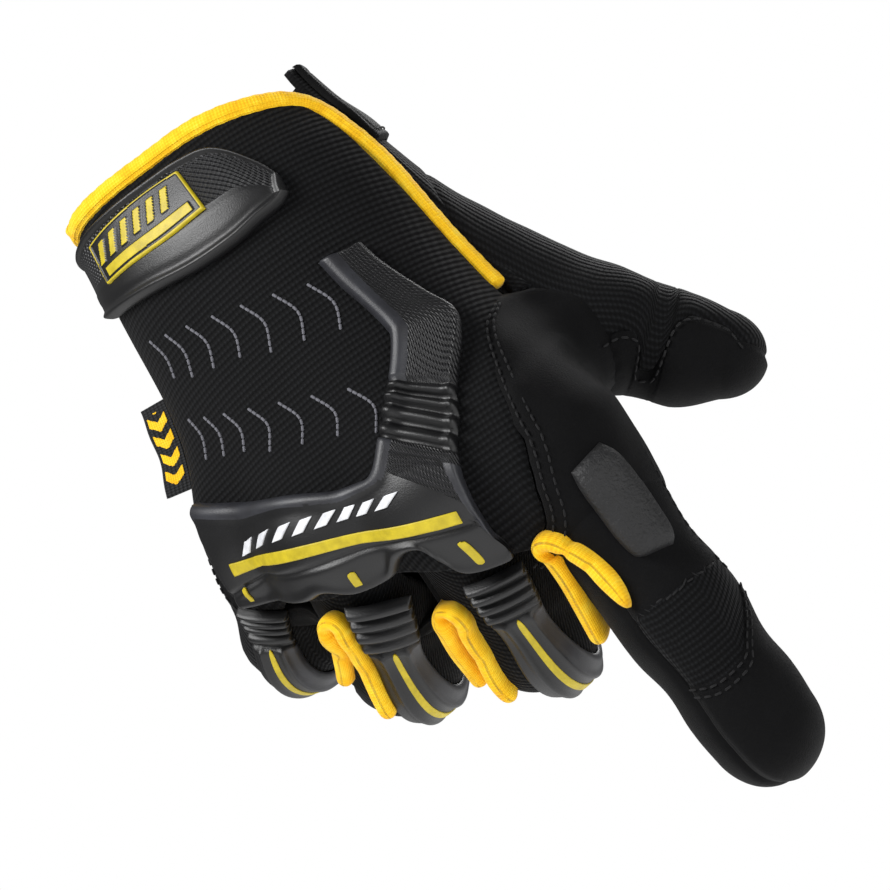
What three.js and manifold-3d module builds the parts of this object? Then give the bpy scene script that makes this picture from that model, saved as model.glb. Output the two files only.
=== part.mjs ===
// Right-hand impact work glove in its worn shape: index finger straight, other fingers curled,
// thumb out. Millimetres. The origin is the middle of the wrist opening, +Z runs to the forearm,
// the back of the hand faces -Y and the thumb lies on the +X side.
//
// The hand and every digit are runs of tapered round bones that melt into each other. A ray from
// the middle of a limb finds the surface at any angle round it and any station along it, and each
// cloth or rubber piece is a slab between two heights over that surface.

import * as THREE from 'three';
import { mergeVertices } from 'three/addons/utils/BufferGeometryUtils.js';
import Module from 'manifold-3d';

const wasm = await Module();
wasm.setup();

// Sizes of the worn hand
const handLength = 118;
const palmBreadth = 100;
const wristDepth = 43;
const indexLength = 77.8;
const middleLength = 88.3;
const ringLength = 84.2;
const littleLength = 66.9;
const thumbLength = 99.6;
const indexWidth = 26;
const middleWidth = 27;
const ringWidth = 26;
const littleWidth = 24;
const thumbWidth = 25;

// Cloth, rubber and the room between them
const clothWall = 1.8;
const pieceGap = 0.35;
const layerGap = 0.7;
const palmRoom = 1.2;
const guardHeight = 2.4;
const guardLip = 0.9;
const guardRib = 1.2;
const printHeight = 0.6;
const padHeight = 2.4;
const strapHeight = 2.6;
const strapLip = 0.8;
const badgeHeight = 0.8;
const anchorHeight = 1.8;
const flapHeight = 1.5;
const bindingWidth = 4.8;
const bindingHeight = 3.6;
const fourchetteWidth = 13;
const fourchetteHeight = 4.2;
const tagWidth = 7;
const tagThickness = 1;
const dashWidth = 2.2;
const fingerLineWidth = 1.4;

// How softly the bones melt into each other
const handSoftness = 5;
const digitSoftness = 2;
const webSoftness = 2.5;
const fingerBend = 16;
const straightBend = 10;

// Columns: across (share of palmBreadth), back to palm (share of wristDepth), along (share of
// handLength), radius (share of half the wristDepth); first one end of the bone, then the other
const handBoneTable = [
  [0.13, 0.023, 0.051, 1, 0.17, 0, -0.305, 1],
  [-0.12, 0.047, 0.051, 1, -0.09, 0.047, -0.254, 0.953],
  [0.17, 0, -0.305, 1, 0.425, -0.326, -1, 0.67],
  [0.06, -0.07, -0.288, 0.977, 0.2, -0.419, -0.949, 0.744],
  [-0.05, 0, -0.254, 0.93, -0.06, -0.349, -0.873, 0.721],
  [-0.09, 0.047, -0.237, 0.907, -0.27, -0.093, -0.729, 0.628],
  [0.425, -0.326, -1, 0.67, 0.435, -0.233, -1.136, 0.623],
  [0.2, -0.419, -0.949, 0.744, 0.16, -0.233, -1.085, 0.651],
  [-0.06, -0.349, -0.873, 0.721, -0.12, -0.163, -0.983, 0.628],
  [-0.27, -0.093, -0.729, 0.628, -0.34, 0, -0.814, 0.581],
  [0.2, 0.186, -0.254, 0.837, 0.38, 0.256, -0.644, 0.651],
  [-0.1, 0.209, -0.339, 0.744, -0.16, 0.186, -0.627, 0.651],
  [0.4, -0.047, -0.847, 0.558, 0.55, 0.302, -0.788, 0.512],
];

// root: across, back to palm and along, as in the bone table.
// joints: across, back to palm and along (shares of the digit's length), radius (share of half
// its width). side: the axis that its joints bend about.
const digitTable = {
  index: {
    length: indexLength,
    width: indexWidth,
    bend: straightBend,
    root: [0.425, -0.326, -1],
    side: [1, 0, 0],
    joints: [
      [0, 0, 0, 1.108],
      [0.03, 0.096, -0.578, 1.008],
      [0.021, 0.173, -0.874, 0.923],
      [0.017, 0.206, -0.976, 0.954],
    ],
  },
  middle: {
    length: middleLength,
    width: middleWidth,
    bend: fingerBend,
    root: [0.2, -0.419, -0.949],
    side: [0.953, 0, -0.303],
    joints: [
      [0, 0, 0, 1.185],
      [-0.113, 0.26, -0.357, 1],
      [-0.055, 0.514, -0.176, 0.926],
      [0.012, 0.547, 0.039, 0.778],
    ],
  },
  ring: {
    length: ringLength,
    width: ringWidth,
    bend: fingerBend,
    root: [-0.06, -0.349, -0.873],
    side: [0.837, 0, -0.547],
    joints: [
      [0, 0, 0, 1.192],
      [-0.202, 0.285, -0.309, 1],
      [-0.075, 0.523, -0.144, 0.923],
      [0.065, 0.544, 0.044, 0.8],
    ],
  },
  little: {
    length: littleLength,
    width: littleWidth,
    bend: fingerBend,
    root: [-0.27, -0.093, -0.729],
    side: [0.62, -0.3, -0.725],
    joints: [
      [0, 0, 0, 1.125],
      [-0.254, 0.224, -0.314, 1],
      [-0.145, 0.483, -0.288, 0.9],
      [-0.03, 0.57, -0.152, 0.78],
    ],
  },
  thumb: {
    length: thumbLength,
    width: thumbWidth,
    bend: straightBend,
    root: [0.22, 0.209, -0.288],
    side: [0.08, 0.92, 0.38],
    joints: [
      [0, 0, 0, 1.36],
      [0.382, 0.09, -0.602, 1.024],
      [0.472, 0.171, -0.723, 0.96],
      [0.547, 0.211, -0.793, 0.784],
    ],
  },
};

// Seams round the hand. Columns: station along the hand, angle round it (0 is the back of the
// hand, 90 the thumb side)
const ulnarSeamAngle = -88;
const palmSeamAngle = 129;
const backSeam = [[0.11, 80], [0.2, 85], [0.31, 90], [0.64, 91], [0.655, 76], [0.74, 56],
  [0.84, 48], [0.97, 41], [1.22, 42], [1.45, 47]];
const yokeTop = 0.665;
const backEnd = 1.46;

// Middle line of the cuff binding: along the rim, round the corner and down the thumb-side slit.
// Columns: angle, station
const bindingLine = [[-96, 0.012], [-72, 0.006], [-48, 0.006], [-24, 0.014], [0, 0.024],
  [22, 0.038], [44, 0.064], [60, 0.084], [71, 0.108], [78, 0.142], [82, 0.2], [87, 0.26],
  [90, 0.33], [92, 0.42], [93, 0.5], [94, 0.57], [94, 0.635]];

// Edges of the rubber knuckle guard, from its tab round the window to the little finger.
// Columns: angle and station of the window edge, then of the outer edge
const guardTable = [[28, 0.47, 43, 0.47], [29, 0.54, 45, 0.54], [31, 0.61, 50, 0.64],
  [32, 0.67, 53, 0.69], [31, 0.7, 49, 0.74], [24, 0.78, 38, 0.84], [19, 0.83, 32, 0.92],
  [13, 0.91, 26, 1.01], [10, 0.95, 27, 1.19], [8, 0.97, 32, 1.36], [6, 0.98, 40, 1.5],
  [4, 0.98, 26, 1.5], [2, 0.98, 19, 1.42], [0, 0.98, 14, 1.34], [-3, 0.98, 8, 1.36],
  [-6, 0.975, 2, 1.48], [-11, 0.96, -11, 1.49], [-17, 0.945, -19, 1.43], [-24, 0.93, -29, 1.46],
  [-34, 0.91, -48, 1.48], [-46, 0.88, -66, 1.46], [-58, 0.85, -80, 1.36]];
const stripeTable = [[-56, 1.09, -60, 1.18], [-36, 1.13, -37, 1.2], [-16, 1.16, -15, 1.22],
  [5, 1.2, 6, 1.255], [23, 1.21, 24, 1.26]];

// Edges of the closure strap from its anchored end to its tip.
// Columns: angle and station of the rim-side edge, then of the finger-side edge
const strapTable = [[-86, 0.06, -86, 0.23], [-62, 0.055, -62, 0.27], [-38, 0.055, -38, 0.3],
  [-18, 0.065, -18, 0.325], [-2, 0.075, -2, 0.345], [12, 0.085, 12, 0.345], [23, 0.11, 22, 0.33],
  [31, 0.19, 29, 0.32], [35, 0.26, 34, 0.3]];
const badgeTable = [[-38, 0.105, -36, 0.225], [-22, 0.105, -20, 0.235], [-5, 0.11, -4, 0.245],
  [10, 0.12, 11, 0.24]];

// Guards on the curled fingers: middle angle, half their spread, first and last station
const fingerGuards = {
  middle: { centre: 18, spread: 30, start: 0.17, ribsEnd: 0.3, end: 0.6 },
  ring: { centre: 26, spread: 31, start: 0.12, ribsEnd: 0.3, end: 0.6 },
  little: { centre: 27, spread: 31, start: 0.27, ribsEnd: 0.4, end: 0.7 },
};
const ribCount = 4;
const guardPlainRows = 3;

// Dashes over the knuckles. Columns: angle and station of each end
const dashTable = {
  middle: [23, 1.33, 29, 1.46],
  ring: [-8, 1.35, -9, 1.47],
  little: [-64, 1.27, -71, 1.37],
};

// Raised pad on the index finger. Columns: angle and station of its two long edges
const padTable = [[20, 0.1, 50, 0.08], [17, 0.16, 58, 0.14], [16, 0.24, 62, 0.24],
  [15, 0.33, 63, 0.36], [18, 0.39, 60, 0.41], [26, 0.41, 54, 0.43]];
const indexSeams = { ulnar: -22, radial: 96, windowStart: 0.55, windowEnd: 0.76 };
const curledBackSpread = 66;
const thumbSeams = { knitFrom: -42, knitTo: 132 };

// Finger-edge line of each fourchette: across (share of palmBreadth), back to palm (share of
// wristDepth), along (share of handLength)
const fourchetteTable = {
  index_middle: [[0.36, -0.4, -1.36], [0.362, -0.5, -1.24], [0.357, -0.58, -1.155],
    [0.33, -0.53, -1.165], [0.305, -0.35, -1.24], [0.264, -0.186, -1.338]],
  middle_ring: [[-0.008, 0, -1.298], [0.015, -0.26, -1.2], [0.043, -0.44, -1.135],
    [0.005, -0.4, -1.12], [-0.045, -0.2, -1.15], [-0.085, 0.046, -1.22]],
  ring_little: [[-0.294, 0.07, -1.175], [-0.245, -0.25, -1.08], [-0.206, -0.46, -1.01],
    [-0.25, -0.38, -1.005], [-0.295, -0.18, -1.03], [-0.336, 0, -1.06]],
};

const colours = {
  knit: [0x17181b, 0.95, 0],
  suede: [0x1b1c1f, 0.9, 0],
  rubber: [0x26272b, 0.5, 0],
  greyRubber: [0x3b3c42, 0.55, 0],
  yellow: [0xe9c527, 0.75, 0],
  webbing: [0x1d1e21, 0.85, 0],
};

// Plain numbers
const lerp = (a, b, share) => a + (b - a) * share;
const radians = (degrees) => (degrees * Math.PI) / 180;
const degrees = (length, radius) => (length / radius) * (180 / Math.PI);

function lookUp(table, value) {
  if (value <= table[0][0]) {
    return table[0][1];
  }
  for (let row = 1; row < table.length; row += 1) {
    if (value <= table[row][0]) {
      const share = (value - table[row - 1][0]) / (table[row][0] - table[row - 1][0]);
      return lerp(table[row - 1][1], table[row][1], share);
    }
  }
  return table[table.length - 1][1];
}

function softMin(distances, softness) {
  const least = Math.min(...distances);
  const sum = distances.reduce((total, d) => total + Math.exp((least - d) / softness), 0);
  return least - softness * Math.log(sum);
}

// Bones and forms
function boneDistance(point, bone) {
  const along = bone.to.clone().sub(bone.from);
  const offset = point.clone().sub(bone.from);
  const share = THREE.MathUtils.clamp(offset.dot(along) / along.lengthSq(), 0, 1);
  return offset.addScaledVector(along, -share).length() - lerp(bone.fromRadius, bone.toRadius, share);
}

function placed(across, depth, along) {
  return new THREE.Vector3(across * palmBreadth, depth * wristDepth, along * handLength);
}

const handBones = handBoneTable.map((row) => ({
  from: placed(row[0], row[1], row[2]),
  fromRadius: (row[3] * wristDepth) / 2,
  to: placed(row[4], row[5], row[6]),
  toRadius: (row[7] * wristDepth) / 2,
}));

function digitBones(digit) {
  const points = digit.joints.map((joint) => placed(...digit.root)
    .add(new THREE.Vector3(joint[0], joint[1], joint[2]).multiplyScalar(digit.length)));
  const radii = digit.joints.map((joint) => (joint[3] * digit.width) / 2);
  return points.slice(1).map((point, i) => ({
    from: points[i],
    fromRadius: radii[i],
    to: point,
    toRadius: radii[i + 1],
  }));
}

function formOf(bones, softness) {
  return (point) => softMin(bones.map((bone) => boneDistance(point, bone)), softness);
}

// The middle line of a digit: straight lengths with rounded corners
function middleLine(bones, bend) {
  const path = new THREE.CurvePath();
  let start = bones[0].from.clone();
  for (let i = 1; i < bones.length; i += 1) {
    const corner = bones[i].from;
    const back = bones[i - 1].from.clone().sub(corner);
    const ahead = bones[i].to.clone().sub(corner);
    const backShare = i > 1 ? 0.5 : 0.9;
    const aheadShare = i < bones.length - 1 ? 0.5 : 0.9;
    const reach = Math.min(bend, back.length() * backShare, ahead.length() * aheadShare);
    const enter = corner.clone().addScaledVector(back.normalize(), reach);
    const leave = corner.clone().addScaledVector(ahead.normalize(), reach);
    path.add(new THREE.LineCurve3(start, enter));
    path.add(new THREE.QuadraticBezierCurve3(enter, corner, leave));
    start = leave;
  }
  path.add(new THREE.LineCurve3(start, bones[bones.length - 1].to));
  return path;
}

// Rays from the middle of a limb. Past station 1 they tilt forward and close the rounded end
function handRay(angle, station) {
  const share = THREE.MathUtils.clamp(station, 0, 1);
  const tilt = (THREE.MathUtils.clamp(station - 1, 0, 1) * Math.PI) / 2;
  const turn = radians(angle);
  const slantAcross = -0.33 * share;
  const slantDepth = 0.06 * (1 - share);
  const spread = lerp(0.13, 0.28, share) * palmBreadth * Math.sin(turn) * Math.cos(tilt);
  const origin = placed(lerp(0.005, 0.06, share), lerp(0.035, -0.198, share), -0.004 - 0.873 * share)
    .add(new THREE.Vector3(spread, 0, spread * slantAcross));
  const outward = new THREE.Vector3(Math.sin(turn), -Math.cos(turn),
    slantAcross * Math.sin(turn) - slantDepth * Math.cos(turn)).normalize();
  const forward = new THREE.Vector3(slantAcross, slantDepth, -1).normalize();
  const direction = outward.multiplyScalar(Math.cos(tilt)).addScaledVector(forward, Math.sin(tilt));
  return { origin, direction };
}

function digitRay(limb, angle, station) {
  const share = THREE.MathUtils.clamp(station, 0, 1);
  const tilt = (THREE.MathUtils.clamp(station - 1, 0, 1) * Math.PI) / 2;
  const turn = radians(angle);
  const origin = limb.line.getPointAt(share);
  const forward = limb.line.getPointAt(Math.min(1, share + 0.02))
    .sub(limb.line.getPointAt(Math.max(0, share - 0.02))).normalize();
  const back = forward.clone().cross(limb.side).normalize();
  const side = back.clone().cross(forward);
  const direction = back.multiplyScalar(Math.cos(turn)).addScaledVector(side, Math.sin(turn))
    .multiplyScalar(Math.cos(tilt)).addScaledVector(forward, Math.sin(tilt));
  return { origin, direction };
}

// The point of a ray where a form stands at the given height
function standOff(ray, form, height) {
  let reach = 0;
  for (let step = 0; step < 26; step += 1) {
    const value = form(ray.origin.clone().addScaledVector(ray.direction, reach)) - height;
    reach = THREE.MathUtils.clamp(reach - value, 0, palmBreadth);
  }
  return ray.origin.clone().addScaledVector(ray.direction, reach);
}

const hand = { form: formOf(handBones, handSoftness), ray: handRay };
const digits = Object.fromEntries(Object.entries(digitTable).map(([name, digit]) => {
  const bones = digitBones(digit);
  const limb = {
    form: formOf(bones, digitSoftness),
    line: middleLine(bones, digit.bend),
    side: new THREE.Vector3(...digit.side).normalize(),
    radius: digit.width / 2,
  };
  limb.ray = (angle, station) => digitRay(limb, angle, station);
  return [name, limb];
}));
const limbs = [hand, ...Object.values(digits)];
const gloveForm = (point) => softMin(limbs.map((limb) => limb.form(point)), webSoftness);

// Closed meshes
function closedMesh(points, triangles) {
  const geometry = new THREE.BufferGeometry();
  const flat = points.flatMap((point) => [point.x, point.y, point.z]);
  geometry.setAttribute('position', new THREE.Float32BufferAttribute(flat, 3));
  geometry.setIndex(triangles.flat());
  return facingOut(mergeVertices(geometry, 2e-3));
}

function facingOut(geometry) {
  const position = geometry.attributes.position;
  const corner = [0, 1, 2].map(() => new THREE.Vector3());
  const kept = [];
  let volume = 0;
  for (let i = 0; i < geometry.index.count; i += 3) {
    const ids = [0, 1, 2].map((k) => geometry.index.getX(i + k));
    if (ids[0] !== ids[1] && ids[1] !== ids[2] && ids[2] !== ids[0]) {
      ids.forEach((id, k) => corner[k].fromBufferAttribute(position, id));
      volume += corner[0].dot(corner[1].clone().cross(corner[2])) / 6;
      kept.push(ids);
    }
  }
  geometry.setIndex(kept.flatMap((ids) => (volume < 0 ? [ids[0], ids[2], ids[1]] : ids)));
  return geometry;
}

// A slab between two grids of points. filled says which cells are there, round joins the last
// column to the first
function slab(outer, inner, filled = () => true, round = false) {
  const rows = outer.length;
  const columns = outer[0].length;
  const cellsAcross = round ? columns : columns - 1;
  const top = (r, c) => r * columns + (c % columns);
  const bottom = (r, c) => rows * columns + top(r, c);
  const isCell = (r, c) => {
    const column = round ? (c + cellsAcross) % cellsAcross : c;
    return r >= 0 && r < rows - 1 && column >= 0 && column < cellsAcross && filled(r, column);
  };
  const triangles = [];
  const wall = (a, b, c, d) => triangles.push([a, b, c], [b, d, c]);
  for (let r = 0; r < rows - 1; r += 1) {
    for (let c = 0; c < cellsAcross; c += 1) {
      if (isCell(r, c)) {
        triangles.push([top(r, c), top(r, c + 1), top(r + 1, c)]);
        triangles.push([top(r, c + 1), top(r + 1, c + 1), top(r + 1, c)]);
        triangles.push([bottom(r, c), bottom(r + 1, c), bottom(r, c + 1)]);
        triangles.push([bottom(r, c + 1), bottom(r + 1, c), bottom(r + 1, c + 1)]);
        if (!isCell(r - 1, c)) {
          wall(top(r, c + 1), top(r, c), bottom(r, c + 1), bottom(r, c));
        }
        if (!isCell(r + 1, c)) {
          wall(top(r + 1, c), top(r + 1, c + 1), bottom(r + 1, c), bottom(r + 1, c + 1));
        }
        if (!isCell(r, c - 1)) {
          wall(top(r, c), top(r + 1, c), bottom(r, c), bottom(r + 1, c));
        }
        if (!isCell(r, c + 1)) {
          wall(top(r + 1, c + 1), top(r, c + 1), bottom(r + 1, c + 1), bottom(r, c + 1));
        }
      }
    }
  }
  return closedMesh([...outer.flat(), ...inner.flat()], triangles);
}

// A grid of surface points: place gives the angle and station of a row and column, and the
// height over the form may change from cell to cell
function surfaceGrid(limb, form, rows, columns, place, height) {
  return Array.from({ length: rows + 1 }, (_, r) => Array.from({ length: columns + 1 }, (__, c) => {
    const [angle, station] = place(r, c);
    return standOff(limb.ray(angle, station), form, height(r, c));
  }));
}

function patch(limb, form, rows, columns, place, outerHeight, innerHeight) {
  const outer = surfaceGrid(limb, form, rows, columns, place, outerHeight);
  return slab(outer, surfaceGrid(limb, form, rows, columns, place, () => innerHeight));
}

// Rows of an edge table, each cut into even steps, with the rows between them filled in
function tablePlace(table, stepsBetween, columns) {
  const rows = (table.length - 1) * stepsBetween;
  const place = (r, c) => {
    const row = Math.min(Math.floor(r / stepsBetween), table.length - 2);
    const edges = table[row].map((value, k) => lerp(value, table[row + 1][k], r / stepsBetween - row));
    return [lerp(edges[0], edges[2], c / columns), lerp(edges[1], edges[3], c / columns)];
  };
  return { rows, place };
}

// A solid limb at one height, closed at its root by a flat end
function limbSolid(limb, height, around, stations) {
  const grid = stations.map((station) => Array.from({ length: around }, (_, c) => (
    standOff(limb.ray((c * 360) / around, station), limb.form, height))));
  const points = [...grid.flat(), limb.ray(0, stations[0]).origin];
  const root = points.length - 1;
  const triangles = [];
  for (let r = 0; r < stations.length - 1; r += 1) {
    for (let c = 0; c < around; c += 1) {
      const next = (c + 1) % around;
      triangles.push([r * around + c, r * around + next, (r + 1) * around + c]);
      triangles.push([r * around + next, (r + 1) * around + next, (r + 1) * around + c]);
    }
  }
  for (let c = 0; c < around; c += 1) {
    triangles.push([c, root, (c + 1) % around]);
  }
  return closedMesh(points, triangles);
}

// An oval tube along a row of points; lift gives the direction of its thickness at each point
function ovalTube(points, lifts, width, height, sides) {
  const rings = points.map((point, i) => {
    const ahead = points[Math.min(i + 1, points.length - 1)];
    const along = ahead.clone().sub(points[Math.max(i - 1, 0)]).normalize();
    const up = lifts[i].clone().addScaledVector(along, -lifts[i].dot(along)).normalize();
    const across = along.clone().cross(up);
    const end = i === 0 || i === points.length - 1 ? 0.7 : 1;
    return Array.from({ length: sides }, (_, k) => point.clone()
      .addScaledVector(across, Math.cos((k * 2 * Math.PI) / sides) * (width / 2) * end)
      .addScaledVector(up, Math.sin((k * 2 * Math.PI) / sides) * (height / 2) * end));
  });
  const all = [...rings.flat(), points[0], points[points.length - 1]];
  const triangles = [];
  for (let r = 0; r < rings.length - 1; r += 1) {
    for (let k = 0; k < sides; k += 1) {
      const next = (k + 1) % sides;
      triangles.push([r * sides + k, (r + 1) * sides + k, r * sides + next]);
      triangles.push([r * sides + next, (r + 1) * sides + k, (r + 1) * sides + next]);
    }
  }
  const last = (rings.length - 1) * sides;
  for (let k = 0; k < sides; k += 1) {
    triangles.push([all.length - 2, k, (k + 1) % sides]);
    triangles.push([all.length - 1, last + ((k + 1) % sides), last + k]);
  }
  return closedMesh(all, triangles);
}

function asSolid(geometry) {
  return new wasm.Manifold(new wasm.Mesh({
    numProp: 3,
    vertProperties: new Float32Array(geometry.attributes.position.array),
    triVerts: new Uint32Array(geometry.index.array),
  }));
}

// What is left of a piece after its neighbours are cut away; loose crumbs are dropped
function trimmed(geometry, cutters) {
  return trimmedSolid(asSolid(geometry), cutters);
}

function trimmedSolid(whole, cutters) {
  const mesh = cutters.reduce((solid, cutter) => solid.subtract(cutter), whole).getMesh();
  const result = new THREE.BufferGeometry();
  result.setAttribute('position', new THREE.BufferAttribute(new Float32Array(mesh.vertProperties), 3));
  result.setIndex(Array.from(mesh.triVerts));
  return largestBody(mergeVertices(result, 1e-3));
}

function largestBody(geometry) {
  const parent = Array.from({ length: geometry.attributes.position.count }, (_, i) => i);
  const find = (i) => {
    let at = i;
    while (parent[at] !== at) {
      parent[at] = parent[parent[at]];
      at = parent[at];
    }
    return at;
  };
  const index = Array.from(geometry.index.array);
  for (let i = 0; i < index.length; i += 3) {
    parent[find(index[i + 1])] = find(index[i]);
    parent[find(index[i + 2])] = find(index[i]);
  }
  const counts = new Map();
  index.forEach((id) => counts.set(find(id), (counts.get(find(id)) ?? 0) + 1));
  const main = [...counts.entries()].sort((a, b) => b[1] - a[1])[0][0];
  geometry.setIndex(index.filter((_, i) => find(index[i - (i % 3)]) === main));
  return facingOut(geometry);
}

// Fourchettes: padded bands between the fingers, one along each finger and a short one that
// joins them round the crotch
function fourchetteBand(rows, steps, grow) {
  const edge = new THREE.CatmullRomCurve3(rows.map((row) => placed(...row)));
  const inward = new THREE.Vector3(0, 1, 0.35).normalize();
  const middles = edge.getPoints(steps)
    .map((point) => point.clone().addScaledVector(inward, fourchetteWidth / 2));
  const lifts = middles.map((point, i) => {
    const ahead = middles[Math.min(i + 1, middles.length - 1)];
    return ahead.clone().sub(middles[Math.max(i - 1, 0)]).cross(inward).normalize();
  });
  const width = fourchetteWidth + 2 * grow;
  return asSolid(ovalTube(middles, lifts, width, fourchetteHeight + 2 * grow, 8));
}

function fourchetteSolid(table, grow) {
  return fourchetteBand(table.slice(0, 3), 4, grow)
    .add(fourchetteBand(table.slice(3), 4, grow))
    .add(fourchetteBand(table.slice(2, 4), 2, grow));
}

// Cutters
const handStations = [0, 0.2, 0.4, 0.6, 0.74, 0.84, 0.97, 1.1, 1.22, 1.34, 1.46, 1.6, 1.8, 2];
const digitStations = [0, 0.15, 0.3, 0.4, 0.5, 0.6, 0.7, 0.85, 1, 1.3, 1.65, 2];
const handCutter = asSolid(limbSolid(hand, palmRoom, 30, handStations));
const hollows = Object.values(digits).map((limb) => asSolid(limbSolid(limb, -clothWall, 10, digitStations)));
const fourchetteCutters = Object.values(fourchetteTable)
  .map((table) => fourchetteSolid(table, pieceGap));
const besideCutters = (name) => Object.entries(digits).filter(([other]) => other !== name)
  .map(([, limb]) => asSolid(limbSolid(limb, pieceGap, 16, digitStations)));

const glove = new THREE.Group();
glove.name = 'impact_glove';

function addPiece(name, geometry, colour) {
  const [color, roughness, metalness] = colours[colour];
  const material = new THREE.MeshStandardMaterial({ color, roughness, metalness });
  const mesh = new THREE.Mesh(geometry, material);
  mesh.name = name;
  glove.add(mesh);
}

// Cloth shells of the hand
const clothPatch = (limb, rows, columns, place) => (
  patch(limb, limb.form, rows, columns, place, () => 0, -clothWall));
const seamHalf = degrees(pieceGap / 2, palmBreadth * 0.4);
const bindingRoom = (bindingWidth / 2 + pieceGap) / (handLength * 0.873);
const bindingTurn = degrees(bindingWidth / 2 + pieceGap, palmBreadth * 0.4);
const rimStation = (angle) => lookUp(bindingLine.slice(0, 10), angle) + bindingRoom;

// Binding of the cuff and the slit
const bindingPath = new THREE.CatmullRomCurve3(bindingLine.map(([angle, station]) => (
  standOff(handRay(angle, station), hand.form, -clothWall / 2))));
const bindingPoints = bindingPath.getSpacedPoints(28);
const slope = (form, point) => new THREE.Vector3(...['x', 'y', 'z'].map((axis) => {
  const step = point.clone();
  step[axis] += 0.5;
  return form(step) - form(point);
})).normalize();
const bindingTube = (grow) => ovalTube(
  bindingPoints,
  bindingPoints.map((point) => slope(hand.form, point)),
  bindingWidth + 2 * grow,
  bindingHeight + 2 * grow,
  8,
);
const bindingCutter = asSolid(bindingTube(pieceGap));

const backRows = [0, 0.03, 0.08, 0.15, 0.24, 0.33, 0.5, 0.57, 0.64, 0.652, yokeTop, 0.74, 0.84,
  0.97, 1.1, 1.22, 1.34, backEnd];
const backPlace = (r, c) => {
  const share = c / 11;
  const station = backRows[r];
  const edge = lookUp(backSeam, station) - (station < 0.645 ? bindingTurn * 0.6 : seamHalf);
  const angle = lerp(ulnarSeamAngle + seamHalf, edge, share);
  return [angle, Math.max(station, rimStation(angle) + r * 0.004)];
};
addPiece('back_panel', trimmed(
  clothPatch(hand, backRows.length - 1, 11, backPlace),
  [bindingCutter, ...hollows, ...fourchetteCutters],
), 'knit');

const sideRows = [0, 0.1, 0.2, 0.3, 0.4, 0.5, 0.6, yokeTop - 0.012];
const sidePlace = (r, c) => {
  const station = sideRows[r];
  const start = Math.max(lookUp(bindingLine.slice(9).map(([angle, at]) => [at, angle]), station), 80);
  return [lerp(start + bindingTurn, palmSeamAngle - seamHalf, c / 4), station];
};
addPiece('thumb_side_panel', trimmed(clothPatch(hand, sideRows.length - 1, 4, sidePlace), [
  bindingCutter, ...hollows]), 'knit');

const yokeRows = [yokeTop + 0.005, 0.74, 0.84, 0.97, 1.1, 1.22, 1.34, backEnd];
const yokePlace = (r, c) => {
  const station = yokeRows[r];
  return [lerp(lookUp(backSeam, station) + seamHalf, palmSeamAngle - seamHalf, c / 7), station];
};
addPiece('index_yoke', trimmed(
  clothPatch(hand, yokeRows.length - 1, 7, yokePlace),
  [bindingCutter, ...hollows, ...fourchetteCutters],
), 'suede');

const palmRows = [0, 0.1, 0.2, 0.3, 0.45, 0.6, yokeTop, 0.74, 0.84, 0.97, 1.1, 1.22, 1.34,
  backEnd, backEnd + pieceGap / 30, 1.6, 1.8, 2];
const palmAngles = [palmSeamAngle + seamHalf, 147, 165, 183, 201, 219, 237, 255, 272 - seamHalf,
  300, 330, 360, 390, 420, 450, 470, 488 - seamHalf];
const palmGrid = (height) => palmRows.map((station) => palmAngles.map((angle) => (
  standOff(hand.ray(angle, station), hand.form, height))));
addPiece('palm_panel', trimmed(
  slab(palmGrid(0), palmGrid(-clothWall), (r, c) => c < 8 || r >= 14, true),
  [bindingCutter, ...hollows, ...fourchetteCutters],
), 'suede');

// Cuff
addPiece('cuff_binding', bindingTube(0), 'yellow');

const flapPlace = (r, c) => [lerp(90, 214, c / 11), lerp(-0.012, lerp(0.25, 0.13, c / 11), r / 3)];
addPiece('cuff_flap', patch(hand, gloveForm, 3, 11, flapPlace, () => layerGap + flapHeight, layerGap), 'suede');

// Closure strap with its badge and anchor
const strapShape = tablePlace(strapTable, 1, 6);
const strapTop = layerGap + strapHeight;
addPiece('closure_strap', patch(hand, gloveForm, strapShape.rows, 6, strapShape.place, (r, c) => (
  strapTop + (c === 0 || c === 6 ? strapLip : 0)), layerGap), 'rubber');
const badgeShape = tablePlace(badgeTable, 2, 4);
addPiece('strap_badge', patch(hand, gloveForm, badgeShape.rows, 4, badgeShape.place, () => (
  strapTop + pieceGap + badgeHeight), strapTop + pieceGap), 'yellow');
const anchorPlace = (r, c) => [lerp(-140, -89, c / 5), lerp(0.05, 0.24, r / 4)];
addPiece('strap_anchor', patch(hand, gloveForm, 4, 5, anchorPlace, () => (
  layerGap + anchorHeight), layerGap), 'webbing');

// Folded tag sewn into the outer seam
const tagLine = [0.48, 0.53, 0.58, 0.63, 0.68, 0.72].map((station) => handRay(ulnarSeamAngle, station));
const tagSide = (offset) => tagLine.map((ray) => [0, 0.5, 1].map((share) => (
  standOff(ray, gloveForm, layerGap + share * tagWidth).add(new THREE.Vector3(0, offset, 0)))));
addPiece('side_tag', slab(tagSide(-tagThickness / 2), tagSide(tagThickness / 2)), 'webbing');

// Rubber knuckle guard with its prints
const guardTop = layerGap + guardHeight;
const printLift = guardTop + 2 * pieceGap;
const dashLift = printLift + guardLip / 3;
const guardShape = tablePlace(guardTable, 1, 5);
addPiece('knuckle_guard', patch(hand, gloveForm, guardShape.rows, 5, guardShape.place, (r, c) => (
  guardTop + (c === 0 || c === 5 ? guardLip : 0)), layerGap), 'rubber');
const stripeShape = tablePlace(stripeTable, 3, 1);
addPiece('knuckle_stripe', patch(hand, gloveForm, stripeShape.rows, 1, stripeShape.place, () => (
  printLift + printHeight), printLift), 'yellow');

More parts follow.
